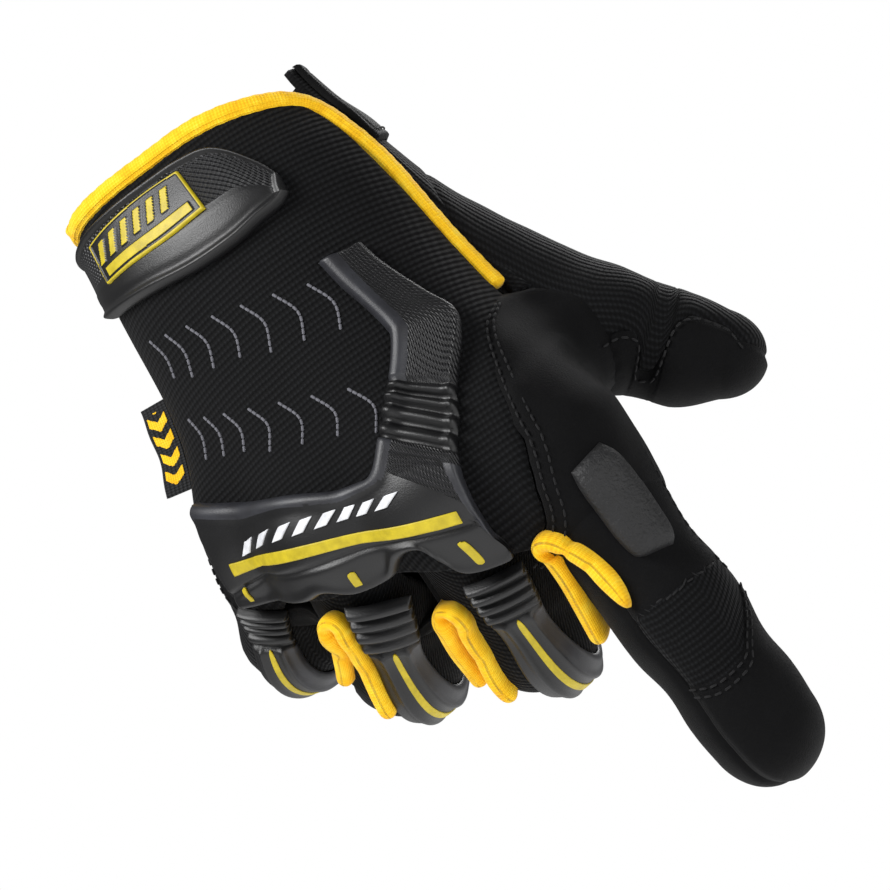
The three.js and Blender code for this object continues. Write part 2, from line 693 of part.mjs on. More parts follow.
function linePatch(limb, ends, width, radius, steps, low, high) {
  const half = degrees(width / 2, radius);
  const place = (r, c) => [
    lerp(ends[0], ends[2], r / steps) + (c === 0 ? -half : half),
    lerp(ends[1], ends[3], r / steps),
  ];
  return patch(limb, gloveForm, steps, 1, place, () => high, low);
}

Object.entries(dashTable).forEach(([name, ends]) => addPiece(
  `${name}_dash`,
  linePatch(hand, ends, dashWidth, palmBreadth * 0.33, 3, dashLift, dashLift + printHeight),
  'yellow',
));

const guardCutter = asSolid(patch(hand, gloveForm, guardShape.rows, 5, guardShape.place, () => (
  dashLift + printHeight), layerGap / 2));

// Guards on the curled fingers
Object.entries(fingerGuards).forEach(([name, guard]) => {
  const limb = digits[name];
  const ribRows = ribCount * 2;
  const place = (r, c) => {
    const station = r <= ribRows
      ? lerp(guard.start, guard.ribsEnd, r / ribRows)
      : lerp(guard.ribsEnd, guard.end, (r - ribRows) / guardPlainRows);
    return [guard.centre + lerp(-guard.spread, guard.spread, c / 4), station];
  };
  const height = (r, c) => guardTop - (r < ribRows && r % 2 === 0 ? guardRib : 0)
    - (c === 0 || c === 4 ? guardLip : 0);
  addPiece(`${name}_guard`, trimmed(
    patch(limb, gloveForm, ribRows + guardPlainRows, 4, place, height, layerGap),
    [guardCutter, ...fourchetteCutters, ...besideCutters(name)],
  ), 'rubber');
  const line = [guard.centre, guard.ribsEnd, guard.centre, guard.end];
  addPiece(`${name}_line`, linePatch(limb, line, fingerLineWidth, limb.radius, guardPlainRows,
    guardTop + pieceGap, guardTop + pieceGap + printHeight), 'yellow');
});

// Index finger
function digitShell(name, angles, stations, filled) {
  const limb = digits[name];
  const grid = (height) => stations.map((station) => angles.map((angle) => (
    standOff(limb.ray(angle, station), limb.form, height))));
  const geometry = slab(grid(0), grid(-clothWall), filled, true);
  return trimmed(geometry, [handCutter, ...fourchetteCutters]);
}

function splitAngles(from, to, backCells, palmCells, radius) {
  const half = degrees(pieceGap / 2, radius);
  const back = Array.from({ length: backCells + 1 }, (_, i) => (
    lerp(from + half, to - half, i / backCells)));
  const palm = Array.from({ length: palmCells + 1 }, (_, i) => (
    lerp(to + half, from + 360 - half, i / palmCells)));
  return [...back, ...palm];
}

const stationGap = pieceGap / indexLength / 2;
const indexAngles = splitAngles(indexSeams.ulnar, indexSeams.radial, 6, 8, digits.index.radius);
const indexRows = [0, 0.12, 0.24, 0.34, 0.44, indexSeams.windowStart - stationGap,
  indexSeams.windowStart + stationGap, 0.65, indexSeams.windowEnd - stationGap,
  indexSeams.windowEnd + stationGap, 0.88, 1, 1.2, 1.22, 1.5, 1.75, 2];
const backCell = (c) => c < 6;
addPiece('index_back', digitShell('index', indexAngles, indexRows, (r, c) => (
  backCell(c) && r < 5)), 'suede');
addPiece('index_window', digitShell('index', indexAngles, indexRows, (r, c) => (
  backCell(c) && r >= 6 && r < 8)), 'knit');
addPiece('index_tip', digitShell('index', indexAngles, indexRows, (r, c) => (
  (backCell(c) && r >= 9) || r >= 13)), 'suede');
addPiece('index_palm', digitShell('index', indexAngles, indexRows, (r, c) => (
  c > 6 && c < 15 && r < 12)), 'suede');
const padShape = tablePlace(padTable, 1, 5);
addPiece('index_pad', patch(digits.index, gloveForm, padShape.rows, 5, padShape.place, (r, c) => (
  layerGap + padHeight * (r === 0 || r === padShape.rows || c === 0 || c === 5 ? 0.5 : 1)),
layerGap), 'greyRubber');

// Curled fingers
['middle', 'ring', 'little'].forEach((name) => {
  const guard = fingerGuards[name];
  const from = guard.centre - curledBackSpread;
  const to = guard.centre + curledBackSpread;
  const angles = splitAngles(from, to, 5, 7, digits[name].radius);
  const rows = [0, 0.15, 0.3, 0.4, 0.5, 0.6, 0.75, 1, 1.2, 1.22, 1.5, 1.75, 2];
  addPiece(`${name}_back`, digitShell(name, angles, rows, (r, c) => c < 5 && r < 8), 'knit');
  addPiece(`${name}_palm`, digitShell(name, angles, rows, (r, c) => (
    (c > 5 && c < 13) || r >= 9)), 'suede');
});

// Thumb
const thumbAngles = splitAngles(thumbSeams.knitFrom, thumbSeams.knitTo, 7, 7, digits.thumb.radius);
const thumbRows = [0, 0.3, 0.58, 0.7, 0.8, 0.9, 1, 1.02, 1.25, 1.5, 1.75, 2];
addPiece('thumb_back', digitShell('thumb', thumbAngles, thumbRows, (r, c) => c < 7 && r < 6), 'knit');
addPiece('thumb_grip', digitShell('thumb', thumbAngles, thumbRows, (r, c) => (
  (c > 7 && c < 15) || r >= 7)), 'suede');

// Fourchettes between the fingers
Object.entries(fourchetteTable).forEach(([name, table]) => (
  addPiece(`${name}_fourchette`, trimmedSolid(fourchetteSolid(table, 0), hollows), 'yellow')));

export default glove;
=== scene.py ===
"""Right-hand impact work glove, worn and pointing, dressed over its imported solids."""

import bmesh
import bpy
import numpy as np
from mathutils import Matrix


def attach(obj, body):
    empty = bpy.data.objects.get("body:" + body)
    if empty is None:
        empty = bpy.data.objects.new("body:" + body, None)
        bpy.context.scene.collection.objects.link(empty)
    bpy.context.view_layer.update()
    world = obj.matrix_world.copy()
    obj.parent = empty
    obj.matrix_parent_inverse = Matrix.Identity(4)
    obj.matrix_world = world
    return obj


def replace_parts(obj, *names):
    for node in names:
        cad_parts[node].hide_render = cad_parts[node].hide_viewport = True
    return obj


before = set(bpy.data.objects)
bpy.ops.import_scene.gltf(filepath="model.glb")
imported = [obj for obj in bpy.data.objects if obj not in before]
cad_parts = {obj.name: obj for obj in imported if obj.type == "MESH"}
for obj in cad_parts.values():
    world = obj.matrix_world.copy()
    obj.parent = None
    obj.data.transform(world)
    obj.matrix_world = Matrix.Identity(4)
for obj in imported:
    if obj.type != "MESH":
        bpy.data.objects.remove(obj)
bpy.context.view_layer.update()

MM = 0.001

# --- camera ---------------------------------------------------------------------------------
# Long lens, a little below the glove and to its thumb side, rolled so that the forearm end
# points to the upper left of the frame.
AZIMUTH, ELEVATION, ROLL = np.radians(20.0), np.radians(-15.0), (0.8417, 0.54)
LOOK = np.array([-np.sin(AZIMUTH) * np.cos(ELEVATION), np.cos(AZIMUTH) * np.cos(ELEVATION),
                 -np.sin(ELEVATION)])
LEVEL_RIGHT = np.array([np.cos(AZIMUTH), np.sin(AZIMUTH), 0.0])
LEVEL_UP = np.cross(LEVEL_RIGHT, LOOK)
DISTANCE, FOCAL_PIXELS, FRAME_PIXELS = 800.0, 800.0 / 0.24, 890.0


def make_camera():
    """Camera so placed that the wrist opening's centre falls on pixel (180, 157)."""
    right = ROLL[0] * LEVEL_RIGHT - ROLL[1] * LEVEL_UP
    up = ROLL[1] * LEVEL_RIGHT + ROLL[0] * LEVEL_UP
    shift = (np.array([180.0, 157.0]) - 445.0) / FOCAL_PIXELS
    place = -DISTANCE * (LOOK + shift[0] * right - shift[1] * up)
    data = bpy.data.cameras.new("studio_camera")
    data.sensor_width = 36.0
    data.lens = 36.0 * FOCAL_PIXELS / FRAME_PIXELS
    data.clip_end = 20.0
    camera = bpy.data.objects.new("studio_camera", data)
    bpy.context.collection.objects.link(camera)
    turn = Matrix(np.column_stack([right, up, -LOOK]).tolist()).to_4x4()
    camera.matrix_world = Matrix.Translation((place * MM).tolist()) @ turn
    bpy.context.scene.camera = camera


make_camera()

# --- sizes, in millimetres ------------------------------------------------------------------
HAND_LENGTH, PALM_BREADTH, WRIST_DEPTH = 118.0, 100.0, 43.0
CLOTH_WALL = 1.6
GUARD_HEIGHT = 3.0
PRINT_HEIGHT = 0.35

# across, back to palm, along and radius of both ends of each bone of the hand
HAND_BONES = np.array([
    [13, 1, 6, 21.5, 17, 0, -36, 21.5], [-12, 2, 6, 21.5, -9, 2, -30, 20.5],
    [17, 0, -36, 21.5, 42.5, -14, -118, 14.4], [6, -3, -34, 21, 20, -18, -112, 16],
    [-5, 0, -30, 20, -6, -15, -103, 15.5], [-9, 2, -28, 19.5, -27, -4, -86, 13.5],
    [42.5, -14, -118, 14.4, 43.5, -10, -134, 13.4], [20, -18, -112, 16, 16, -10, -128, 14],
    [-6, -15, -103, 15.5, -12, -7, -116, 13.5], [-27, -4, -86, 13.5, -34, 0, -96, 12.5],
    [20, 8, -30, 18, 38, 11, -76, 14], [-10, 9, -40, 16, -16, 8, -74, 14],
    [40, -2, -100, 12, 55, 13, -93, 11]], float)

# joints of each digit: place and radius; the axis the joints bend about; the length of the bend
DIGITS = {
    "index": ([[42.5, -14, -118, 14.4], [44.8, -6.5, -163, 13.1], [44.1, -0.5, -186, 12.0],
               [43.8, 2, -194, 12.4]], (1, 0, 0), 10),
    "middle": ([[20, -18, -112, 16], [10, 5, -143.5, 13.5], [15.1, 27.4, -127.5, 12.5],
                [21.1, 30.3, -108.6, 10.5]], (0.953, 0, -0.303), 16),
    "ring": ([[-6, -15, -103, 15.5], [-23, 9, -129, 13], [-12.3, 29, -115.1, 12],
              [-0.5, 30.8, -99.3, 10.4]], (0.837, 0, -0.547), 16),
    "little": ([[-27, -4, -86, 13.5], [-44, 11, -107, 12], [-36.7, 28.3, -105.3, 10.8],
                [-29, 34.1, -96.2, 9.4]], (0.62, -0.3, -0.725), 16),
    "thumb": ([[22, 9, -34, 17], [60, 18, -94, 12.8], [69, 26, -106, 12], [76.5, 30, -113, 9.8]],
              (0.08, 0.92, 0.38), 10),
}


# --- the form of the worn hand --------------------------------------------------------------
def bone_distances(points, bones):
    """Distance of each point to each tapered round bone: length of the offset from the nearest
    place on the bone's axis, less the radius there."""
    start, end = bones[:, 0:3], bones[:, 4:7]
    axis = end - start
    offset = points[:, None, :] - start
    share = np.clip((offset * axis).sum(-1) / (axis * axis).sum(-1), 0, 1)
    radius = bones[:, 3] + (bones[:, 7] - bones[:, 3]) * share
    return np.linalg.norm(offset - share[..., None] * axis, axis=-1) - radius


def soft_min(distances, softness):
    """Least distance, rounded where several are alike: -k log(sum(exp(-d / k)))."""
    least = distances.min(-1, keepdims=True)
    total = np.exp((least - distances) / softness).sum(-1)
    return least[..., 0] - softness * np.log(total)


def joint_bones(joints):
    joints = np.array(joints, float)
    return np.hstack([joints[:-1], joints[1:]])


LIMB_BONES = {"hand": (HAND_BONES, 5.0)}
LIMB_BONES.update({name: (joint_bones(row[0]), 2.0) for name, row in DIGITS.items()})


def limb_distance(name, points):
    bones, softness = LIMB_BONES[name]
    return soft_min(bone_distances(points.reshape(-1, 3), bones), softness).reshape(points.shape[:-1])


def all_distances(points):
    return {name: limb_distance(name, points) for name in LIMB_BONES}


def middle_line(joints, bend):
    """Joint line with its corners rounded by quadratic curves, resampled evenly by length."""
    corners = np.array(joints, float)[:, :3]
    pieces = [corners[:1]]
    t = np.linspace(0, 1, 13)[:, None]
    for i in range(1, len(corners) - 1):
        back, ahead = corners[i - 1] - corners[i], corners[i + 1] - corners[i]
        back_length, ahead_length = np.linalg.norm(back), np.linalg.norm(ahead)
        reach = min(bend, back_length * (0.5 if i > 1 else 0.9),
                    ahead_length * (0.5 if i < len(corners) - 2 else 0.9))
        enter = corners[i] + back / back_length * reach
        leave = corners[i] + ahead / ahead_length * reach
        pieces.append((1 - t) ** 2 * enter + 2 * t * (1 - t) * corners[i] + t * t * leave)
    line = np.vstack(pieces + [corners[-1:]])
    steps = np.linalg.norm(np.diff(line, axis=0), axis=1)
    line = line[np.r_[True, steps > 1e-6]]
    length = np.r_[0, np.cumsum(np.linalg.norm(np.diff(line, axis=0), axis=1))]
    even = np.linspace(0, length[-1], 201)
    line = np.stack([np.interp(even, length, line[:, k]) for k in range(3)], -1)
    heading = np.gradient(line, axis=0)
    for _ in range(3):
        heading[1:-1] = (heading[:-2] + heading[1:-1] + heading[2:]) / 3
    return line, heading / np.linalg.norm(heading, axis=1, keepdims=True)


MIDDLE_LINES = {name: middle_line(row[0], row[2]) for name, row in DIGITS.items()}


def unit(vectors):
    return vectors / np.maximum(np.linalg.norm(vectors, axis=-1, keepdims=True), 1e-9)


def limb_rays(name, angle, station):
    """Rays out of a limb's middle line, at an angle round it (degrees, 0 the back, 90 the thumb
    side) and a station along it. Past station 1 they tilt forward, to close the end."""
    angle, station = np.broadcast_arrays(np.radians(angle), np.asarray(station, float))
    share, tilt = np.clip(station, 0, 1), np.clip(station - 1, 0, 1) * np.pi / 2
    sine, cosine = np.sin(angle), np.cos(angle)
    if name == "hand":
        slant_across, slant_depth = -0.33 * share, 0.06 * (1 - share)
        spread = (13 + 15 * share) * sine * np.cos(tilt)
        origin = np.stack([0.5 + 5.5 * share + spread, 1.5 - 10 * share,
                           -0.5 - 103 * share + spread * slant_across], -1)
        outward = unit(np.stack([sine, -cosine, slant_across * sine - slant_depth * cosine], -1))
        forward = unit(np.stack([slant_across, slant_depth, -np.ones_like(share)], -1))
    else:
        line, heading = MIDDLE_LINES[name]
        at = share * 200
        origin = np.stack([np.interp(at, np.arange(201), line[:, k]) for k in range(3)], -1)
        forward = unit(np.stack([np.interp(at, np.arange(201), heading[:, k]) for k in range(3)], -1))
        back = unit(np.cross(forward, np.array(DIGITS[name][1], float)))
        side = np.cross(back, forward)
        outward = back * cosine[..., None] + side * sine[..., None]
    direction = outward * np.cos(tilt)[..., None] + forward * np.sin(tilt)[..., None]
    return origin, direction


REACH = 3.0


def limb_skin(name, points, reach):
    """The whole glove's melted form, kept within reach millimetres of this limb's own form."""
    distances = all_distances(points)
    glove = soft_min(np.stack(list(distances.values()), -1), 2.5)
    return np.maximum(glove, distances[name] - reach)


def surface_points(name, angle, station, reach):
    """Where each ray leaves the glove's form, by stepping along it by the distance left."""
    origin, direction = limb_rays(name, angle, station)
    shape = origin.shape
    origin, direction = origin.reshape(-1, 3), direction.reshape(-1, 3)
    travel = np.zeros(len(origin))
    for _ in range(15):
        travel = np.clip(travel - limb_skin(name, origin + direction * travel[:, None], reach), 0, 90)
    return (origin + direction * travel[:, None]).reshape(shape)


def grid_normals(points, origin_side):
    """Normals of a grid from its two tangent directions, turned away from the limb's middle."""
    down = np.gradient(points, axis=0)
    across = np.gradient(points, axis=1)
    normal = unit(np.cross(down, across))
    flip = np.sign((normal * origin_side).sum(-1))
    return normal * np.where(flip == 0, 1, flip)[..., None]


def arc_lengths(points):
    """Millimetres across and along a grid, measured from its middle row and column."""
    across = np.zeros(points.shape[:2])
    along = np.zeros(points.shape[:2])
    across[:, 1:] = np.cumsum(np.linalg.norm(np.diff(points, axis=1), axis=-1), axis=1)
    along[1:] = np.cumsum(np.linalg.norm(np.diff(points, axis=0), axis=-1), axis=0)
    return across - across[:, [across.shape[1] // 2]], along - along[[along.shape[0] // 2]]


def smooth_step(value, low, high):
    share = np.clip((value - low) / (high - low), 0, 1)
    return share * share * (3 - 2 * share)


class Skin:
    """A grid of points on a limb with its normals and lengths: the ground every piece is laid
    on. Rows run along the limb and columns round it."""

    def __init__(self, limb, angle, station, reach=REACH):
        self.limb = limb
        self.points = surface_points(limb, angle, station, reach)
        self.normals = grid_normals(self.points, limb_rays(limb, angle, station)[1])
        self.across, self.along = arc_lengths(self.points)
        distances = all_distances(self.points)
        own = distances.pop(limb)
        self.others = distances
        self.rival = own - np.min(np.stack(list(distances.values())), axis=0)

    def lifted(self, height):
        return self.points + self.normals * np.broadcast_to(height, self.points.shape[:2])[..., None]


def skin_between(limb, left, right, stations, columns):
    """Skin between two edge lines; left and right give an angle for every station."""
    share = np.linspace(0, 1, columns + 1)
    angle = left[:, None] * (1 - share) + right[:, None] * share
    return Skin(limb, angle, np.broadcast_to(np.asarray(stations)[:, None], angle.shape))


# --- meshes ---------------------------------------------------------------------------------
def link_mesh(name, points, faces, uv, materials, kinds=None):
    """Mesh object from points in millimetres, faces and one UV pair per point, in metres. kinds
    gives the number of each face's material."""
    mesh = bpy.data.meshes.new(name)
    mesh.from_pydata((points * MM).tolist(), [], [tuple(f) for f in faces])
    for material in materials:
        mesh.materials.append(material)
    if kinds is not None:
        mesh.polygons.foreach_set("material_index", kinds.astype(np.int32))
    layer = mesh.uv_layers.new(name="cloth")
    loops = np.empty(len(mesh.loops), dtype=np.int64)
    mesh.loops.foreach_get("vertex_index", loops)
    layer.data.foreach_set("uv", (uv[loops] * MM).astype(np.float32).ravel())
    work = bmesh.new()
    work.from_mesh(mesh)
    bmesh.ops.remove_doubles(work, verts=work.verts, dist=2e-6)
    bmesh.ops.recalc_face_normals(work, faces=work.faces)
    work.to_mesh(mesh)
    work.free()
    mesh.shade_smooth()
    piece = bpy.data.objects.new(name, mesh)
    bpy.context.collection.objects.link(piece)
    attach(piece, "root")
    return piece


def slab_faces(rows, columns, filled, round_):
    """Faces of a slab between two grids: both skins, and walls where a filled cell ends."""
    top = np.arange(rows * columns).reshape(rows, columns)
    bottom = top + rows * columns
    if round_:
        top, bottom = np.hstack([top, top[:, :1]]), np.hstack([bottom, bottom[:, :1]])
    a, b, c, d = top[:-1, :-1], top[:-1, 1:], top[1:, 1:], top[1:, :-1]
    e, f, g, h = bottom[:-1, :-1], bottom[:-1, 1:], bottom[1:, 1:], bottom[1:, :-1]
    full = np.pad(filled, ((1, 1), (0, 0)))
    full = np.hstack([full[:, -1:], full, full[:, :1]]) if round_ else np.pad(full, ((0, 0), (1, 1)))
    here = full[1:-1, 1:-1]
    faces = [np.stack([a, d, c, b], -1)[here], np.stack([e, f, g, h], -1)[here]]
    for near, wall in (((full[:-2, 1:-1]), (a, b, f, e)), ((full[2:, 1:-1]), (c, d, h, g)),
                       ((full[1:-1, :-2]), (d, a, e, h)), ((full[1:-1, 2:]), (b, c, g, f))):
        faces.append(np.stack(wall, -1)[here & ~near])
    return np.vstack(faces)


def slab_piece(name, outer, inner, across, along, materials, filled=None, round_=False, kinds=None):
    rows, columns = outer.shape[:2]
    if filled is None:
        filled = np.ones((rows - 1, columns if round_ else columns - 1), bool)
    points = np.vstack([outer.reshape(-1, 3), inner.reshape(-1, 3)])
    uv = np.stack([across, along], -1).reshape(-1, 2)
    faces = slab_faces(rows, columns, filled, round_)
    used = np.unique(faces)
    remap = np.zeros(len(points), int)
    remap[used] = np.arange(len(used))
    face_kinds = None
    if kinds is not None:
        face_kinds = np.zeros(len(faces), int)
        face_kinds[:int(filled.sum())] = kinds[filled]
    return link_mesh(name, points[used], remap[faces], np.vstack([uv, uv])[used], materials, face_kinds)


def tube_piece(name, centres, ups, widths, heights, materials, sides=20, power=1.0, relief=1.0):
    """Oval carried along a path: each ring is centre + (across*cos*w/2 + up*sin*h/2) * relief, and
    both ends close to a point."""
    along = unit(np.gradient(centres, axis=0))
    up = unit(ups - along * (ups * along).sum(-1, keepdims=True))
    side = np.cross(along, up)
    turn = np.linspace(0, 2 * np.pi, sides, endpoint=False)
    cos = np.sign(np.cos(turn)) * np.abs(np.cos(turn)) ** power
    sin = np.sign(np.sin(turn)) * np.abs(np.sin(turn)) ** power
    rings = (centres[:, None] + side[:, None] * (cos[None] * widths[:, None] / 2 * relief)[..., None]
             + up[:, None] * (sin[None] * heights[:, None] / 2 * relief)[..., None])
    count = len(centres)
    index = np.arange(count * sides).reshape(count, sides)
    index = np.hstack([index, index[:, :1]])
    quads = np.stack([index[:-1, :-1], index[:-1, 1:], index[1:, 1:], index[1:, :-1]], -1).reshape(-1, 4)
    length = np.r_[0, np.cumsum(np.linalg.norm(np.diff(centres, axis=0), axis=1))]
    girth = turn / (2 * np.pi) * (widths.mean() + heights.mean()) * np.pi / 2
    uv = np.stack([np.broadcast_to(girth, (count, sides)),
                   np.broadcast_to(length[:, None], (count, sides))], -1).reshape(-1, 2)
    points = np.vstack([rings.reshape(-1, 3), centres[:1], centres[-1:]])
    uv = np.vstack([uv, [[0, 0]], [[0, length[-1]]]])
    first, last = count * sides, count * sides + 1
    caps = [[first, b, a] for a, b in zip(index[0, :-1], index[0, 1:])]
    caps += [[last, a, b] for a, b in zip(index[-1, :-1], index[-1, 1:])]
    return link_mesh(name, points, list(map(tuple, quads)) + caps, uv, materials)


# --- materials ------------------------------------------------------------------------------
def linear(hex_colour):
    """sRGB hex value to linear red, green, blue and alpha."""
    value = np.array([int(hex_colour[i:i + 2], 16) for i in (1, 3, 5)]) / 255
    value = np.where(value <= 0.04045, value / 12.92, ((value + 0.055) / 1.055) ** 2.4)
    return (*value.tolist(), 1.0)


def add_node(tree, kind, links=(), **settings):
    """Adds a node. settings are its properties, or inputs when the name starts with in_; links
    are pairs of its input and the socket that feeds it."""
    node = tree.nodes.new(kind)
    for key, value in settings.items():
        if key.startswith("in_"):
            place = key[3:]
            node.inputs[int(place) if place.isdigit() else place.replace("_", " ")].default_value = value
        else:
            setattr(node, key, value)
    for place, socket in links:
        tree.links.new(socket, node.inputs[place])
    return node


def new_material(name, roughness, **sockets):
    material = bpy.data.materials.new(name)
    material.use_nodes = True
    shader = material.node_tree.nodes["Principled BSDF"]
    shader.inputs["Roughness"].default_value = roughness
    for key, value in sockets.items():
        shader.inputs[key.replace("_", " ")].default_value = value
    return material, material.node_tree, shader


def wave(tree, coordinate, pitch, wobble=None):
    """Rounded ridges from 0 to 1 across a coordinate in metres, one every pitch millimetres."""
    value = add_node(tree, "ShaderNodeMath", [(0, coordinate)], operation="MULTIPLY",
                     in_1=2 * np.pi / (pitch * MM)).outputs[0]
    if wobble is not None:
        value = add_node(tree, "ShaderNodeMath", [(0, value), (1, wobble)], operation="ADD").outputs[0]
    sine = add_node(tree, "ShaderNodeMath", [(0, value)], operation="SINE").outputs[0]
    return add_node(tree, "ShaderNodeMath", [(0, sine)], operation="MULTIPLY_ADD",
                    in_1=0.5, in_2=0.5).outputs[0]


def grain(tree, vector, size, detail=3.0, roughness=0.6):
    """Noise from 0 to 1 whose lumps are about size millimetres wide."""
    return add_node(tree, "ShaderNodeTexNoise", [("Vector", vector)], in_Scale=1 / (size * MM),
                    in_Detail=detail, in_Roughness=roughness).outputs["Fac"]


def blend_values(tree, first, second, share):
    """first * (1 - share) + second * share."""
    return add_node(tree, "ShaderNodeMix", [(2, first), (3, second)], data_type="FLOAT",
                    in_0=share).outputs[0]


def paint(tree, shader, value, stops, socket="Base Color"):
    ramp = add_node(tree, "ShaderNodeValToRGB", [("Fac", value)])
    elements = ramp.color_ramp.elements
    while len(elements) < len(stops):
        elements.new(0.5)
    for element, (place, colour) in zip(elements, stops):
        element.position = place
        element.color = linear(colour)
    tree.links.new(ramp.outputs["Color"], shader.inputs[socket])
    return ramp


def emboss(tree, shader, value, depth, strength=1.0):
    bump = add_node(tree, "ShaderNodeBump", [("Height", value)], in_Strength=strength,
                    in_Distance=depth * MM)
    tree.links.new(bump.outputs["Normal"], shader.inputs["Normal"])
    return bump


def ribbed_knit(name, along_axis, pitch, cross_pitch):
    """Black polyester stretch knit: raised ribs of loops, painted lighter on their crests (painted highlight) and
    darker in their valleys (painted shade). along_axis is the coordinate that the ribs are counted on."""
    material, tree, shader = new_material(name, 0.86, Sheen_Weight=0.03, Sheen_Roughness=0.5,
                                          Specular_IOR_Level=0.14)
    if along_axis == "height":
        vector = add_node(tree, "ShaderNodeTexCoord").outputs["Object"]
        axes = add_node(tree, "ShaderNodeSeparateXYZ", [(0, vector)])
        count, other = axes.outputs["Z"], axes.outputs["X"]
    else:
        vector = add_node(tree, "ShaderNodeUVMap", uv_map="cloth").outputs["UV"]
        axes = add_node(tree, "ShaderNodeSeparateXYZ", [(0, vector)])
        count, other = ((axes.outputs["Y"], axes.outputs["X"]) if along_axis == "along"
                        else (axes.outputs["X"], axes.outputs["Y"]))
    loose = grain(tree, vector, 6.0)
    wobble = add_node(tree, "ShaderNodeMath", [(0, loose)], operation="MULTIPLY", in_1=1.6).outputs[0]
    ribs = wave(tree, count, pitch, wobble)
    loops = wave(tree, other, cross_pitch, wobble)
    relief = blend_values(tree, ribs, loops, 0.3)
    relief = blend_values(tree, relief, grain(tree, vector, 0.5), 0.2)
    # colour follows the rib relief: painted shade in the valleys, painted highlight on the crests
    paint(tree, shader, relief, [(0.25, "#010102"), (0.6, "#070708"), (0.85, "#141517")])
    emboss(tree, shader, relief, 0.35)
    return material


def suede_leather():
    """Black synthetic leather with a short brushed nap: fine grain, cloudy light and dark where
    the nap is stroked, hardly any gloss."""
    material, tree, shader = new_material("brushed_synthetic_leather", 0.72, Sheen_Weight=0.04,
                                          Sheen_Roughness=0.45, Specular_IOR_Level=0.1)
    vector = add_node(tree, "ShaderNodeTexCoord").outputs["Object"]
    fine = grain(tree, vector, 0.45, 4.0, 0.7)
    clouds = grain(tree, vector, 9.0, 3.0)
    shade = blend_values(tree, fine, clouds, 0.45)
    paint(tree, shader, shade, [(0.3, "#020203"), (0.55, "#060607"), (0.78, "#0f0f11")])
    emboss(tree, shader, blend_values(tree, fine, clouds, 0.25), 0.25)
    return material


def moulded_rubber(name, dark, light, roughness, fleck=0.35, relief=0.06):
    """Thermoplastic rubber from a matt mould: faint orange-peel skin and soft wide highlights."""
    material, tree, shader = new_material(name, roughness, IOR=1.5)
    vector = add_node(tree, "ShaderNodeTexCoord").outputs["Object"]
    skin = grain(tree, vector, fleck, 2.0)
    handled = grain(tree, vector, 7.0, 3.0)
    paint(tree, shader, handled, [(0.35, dark), (0.7, light)])
    emboss(tree, shader, skin, relief)
    return material


def knurled_rubber(name, dark, light, roughness, pitch):
    """The same rubber with a moulded diamond knurl: two sets of ridges cross on the surface. Its colour follows the
    knurl: painted shade in the grooves, painted highlight on the ridges.
    """
    material, tree, shader = new_material(name, roughness, IOR=1.5)
    vector = add_node(tree, "ShaderNodeUVMap", uv_map="cloth").outputs["UV"]
    axes = add_node(tree, "ShaderNodeSeparateXYZ", [(0, vector)])
    plus = add_node(tree, "ShaderNodeMath", [(0, axes.outputs["X"]), (1, axes.outputs["Y"])],
                    operation="ADD").outputs[0]
    minus = add_node(tree, "ShaderNodeMath", [(0, axes.outputs["X"]), (1, axes.outputs["Y"])],
                     operation="SUBTRACT").outputs[0]
    relief = blend_values(tree, wave(tree, plus, pitch), wave(tree, minus, pitch), 0.5)
    # colour from the knurl relief: painted shade in the grooves, painted highlight on the ridges
    paint(tree, shader, relief, [(0.2, dark), (0.8, light)])
    emboss(tree, shader, relief, 0.45)
    return material


def stretch_cloth(name, dark, middle, light, pitch):
    """Dyed elastane cloth: fine ribs and a soft fuzz that lifts its edges. Its colour is painted darker in the rib
    valleys and lighter on the ribs (painted shade and highlight), with cloudy darker and lighter tone at random.
    """
    material, tree, shader = new_material(name, 0.8, Sheen_Weight=0.12, Sheen_Roughness=0.4,
                                          Specular_IOR_Level=0.25)
    vector = add_node(tree, "ShaderNodeUVMap", uv_map="cloth").outputs["UV"]
    axes = add_node(tree, "ShaderNodeSeparateXYZ", [(0, vector)])
    ribs = wave(tree, axes.outputs["X"], pitch)
    loops = wave(tree, axes.outputs["Y"], pitch * 1.3)
    place = add_node(tree, "ShaderNodeTexCoord").outputs["Object"]
    relief = blend_values(tree, blend_values(tree, ribs, loops, 0.5), grain(tree, place, 0.6), 0.35)
    # 30% of the colour follows the rib relief (painted shade in the valleys, painted highlight on the ribs); the
    # rest is cloudy tone at random
    tone = blend_values(tree, relief, grain(tree, place, 5.0), 0.7)
    paint(tree, shader, tone, [(0.25, dark), (0.5, middle), (0.75, light)])
    emboss(tree, shader, relief, 0.18)
    return material


def printed_rubber(name, dark, light):
    """Flat pigmented rubber print: even colour, satin face, a trace of wear in it."""
    material, tree, shader = new_material(name, 0.5, IOR=1.48)
    vector = add_node(tree, "ShaderNodeTexCoord").outputs["Object"]
    paint(tree, shader, grain(tree, vector, 3.0), [(0.3, dark), (0.7, light)])
    emboss(tree, shader, grain(tree, vector, 0.4), 0.05)
    return material


def woven_webbing(name, dark, light, pitch):
    """Narrow-woven polyester tape: a plain weave of round yarns, one over one under, its colour painted darker
    between the yarns (painted shade) and lighter on their crests (painted highlight).
    """
    material, tree, shader = new_material(name, 0.75, Sheen_Weight=0.05, Specular_IOR_Level=0.3)
    vector = add_node(tree, "ShaderNodeUVMap", uv_map="cloth").outputs["UV"]
    axes = add_node(tree, "ShaderNodeSeparateXYZ", [(0, vector)])
    relief = blend_values(tree, wave(tree, axes.outputs["X"], pitch),
                          wave(tree, axes.outputs["Y"], pitch * 0.8), 0.5)
    # colour from the weave relief: painted shade between the yarns, painted highlight on their crests
    paint(tree, shader, relief, [(0.2, dark), (0.8, light)])
    emboss(tree, shader, relief, 0.3)
    return material


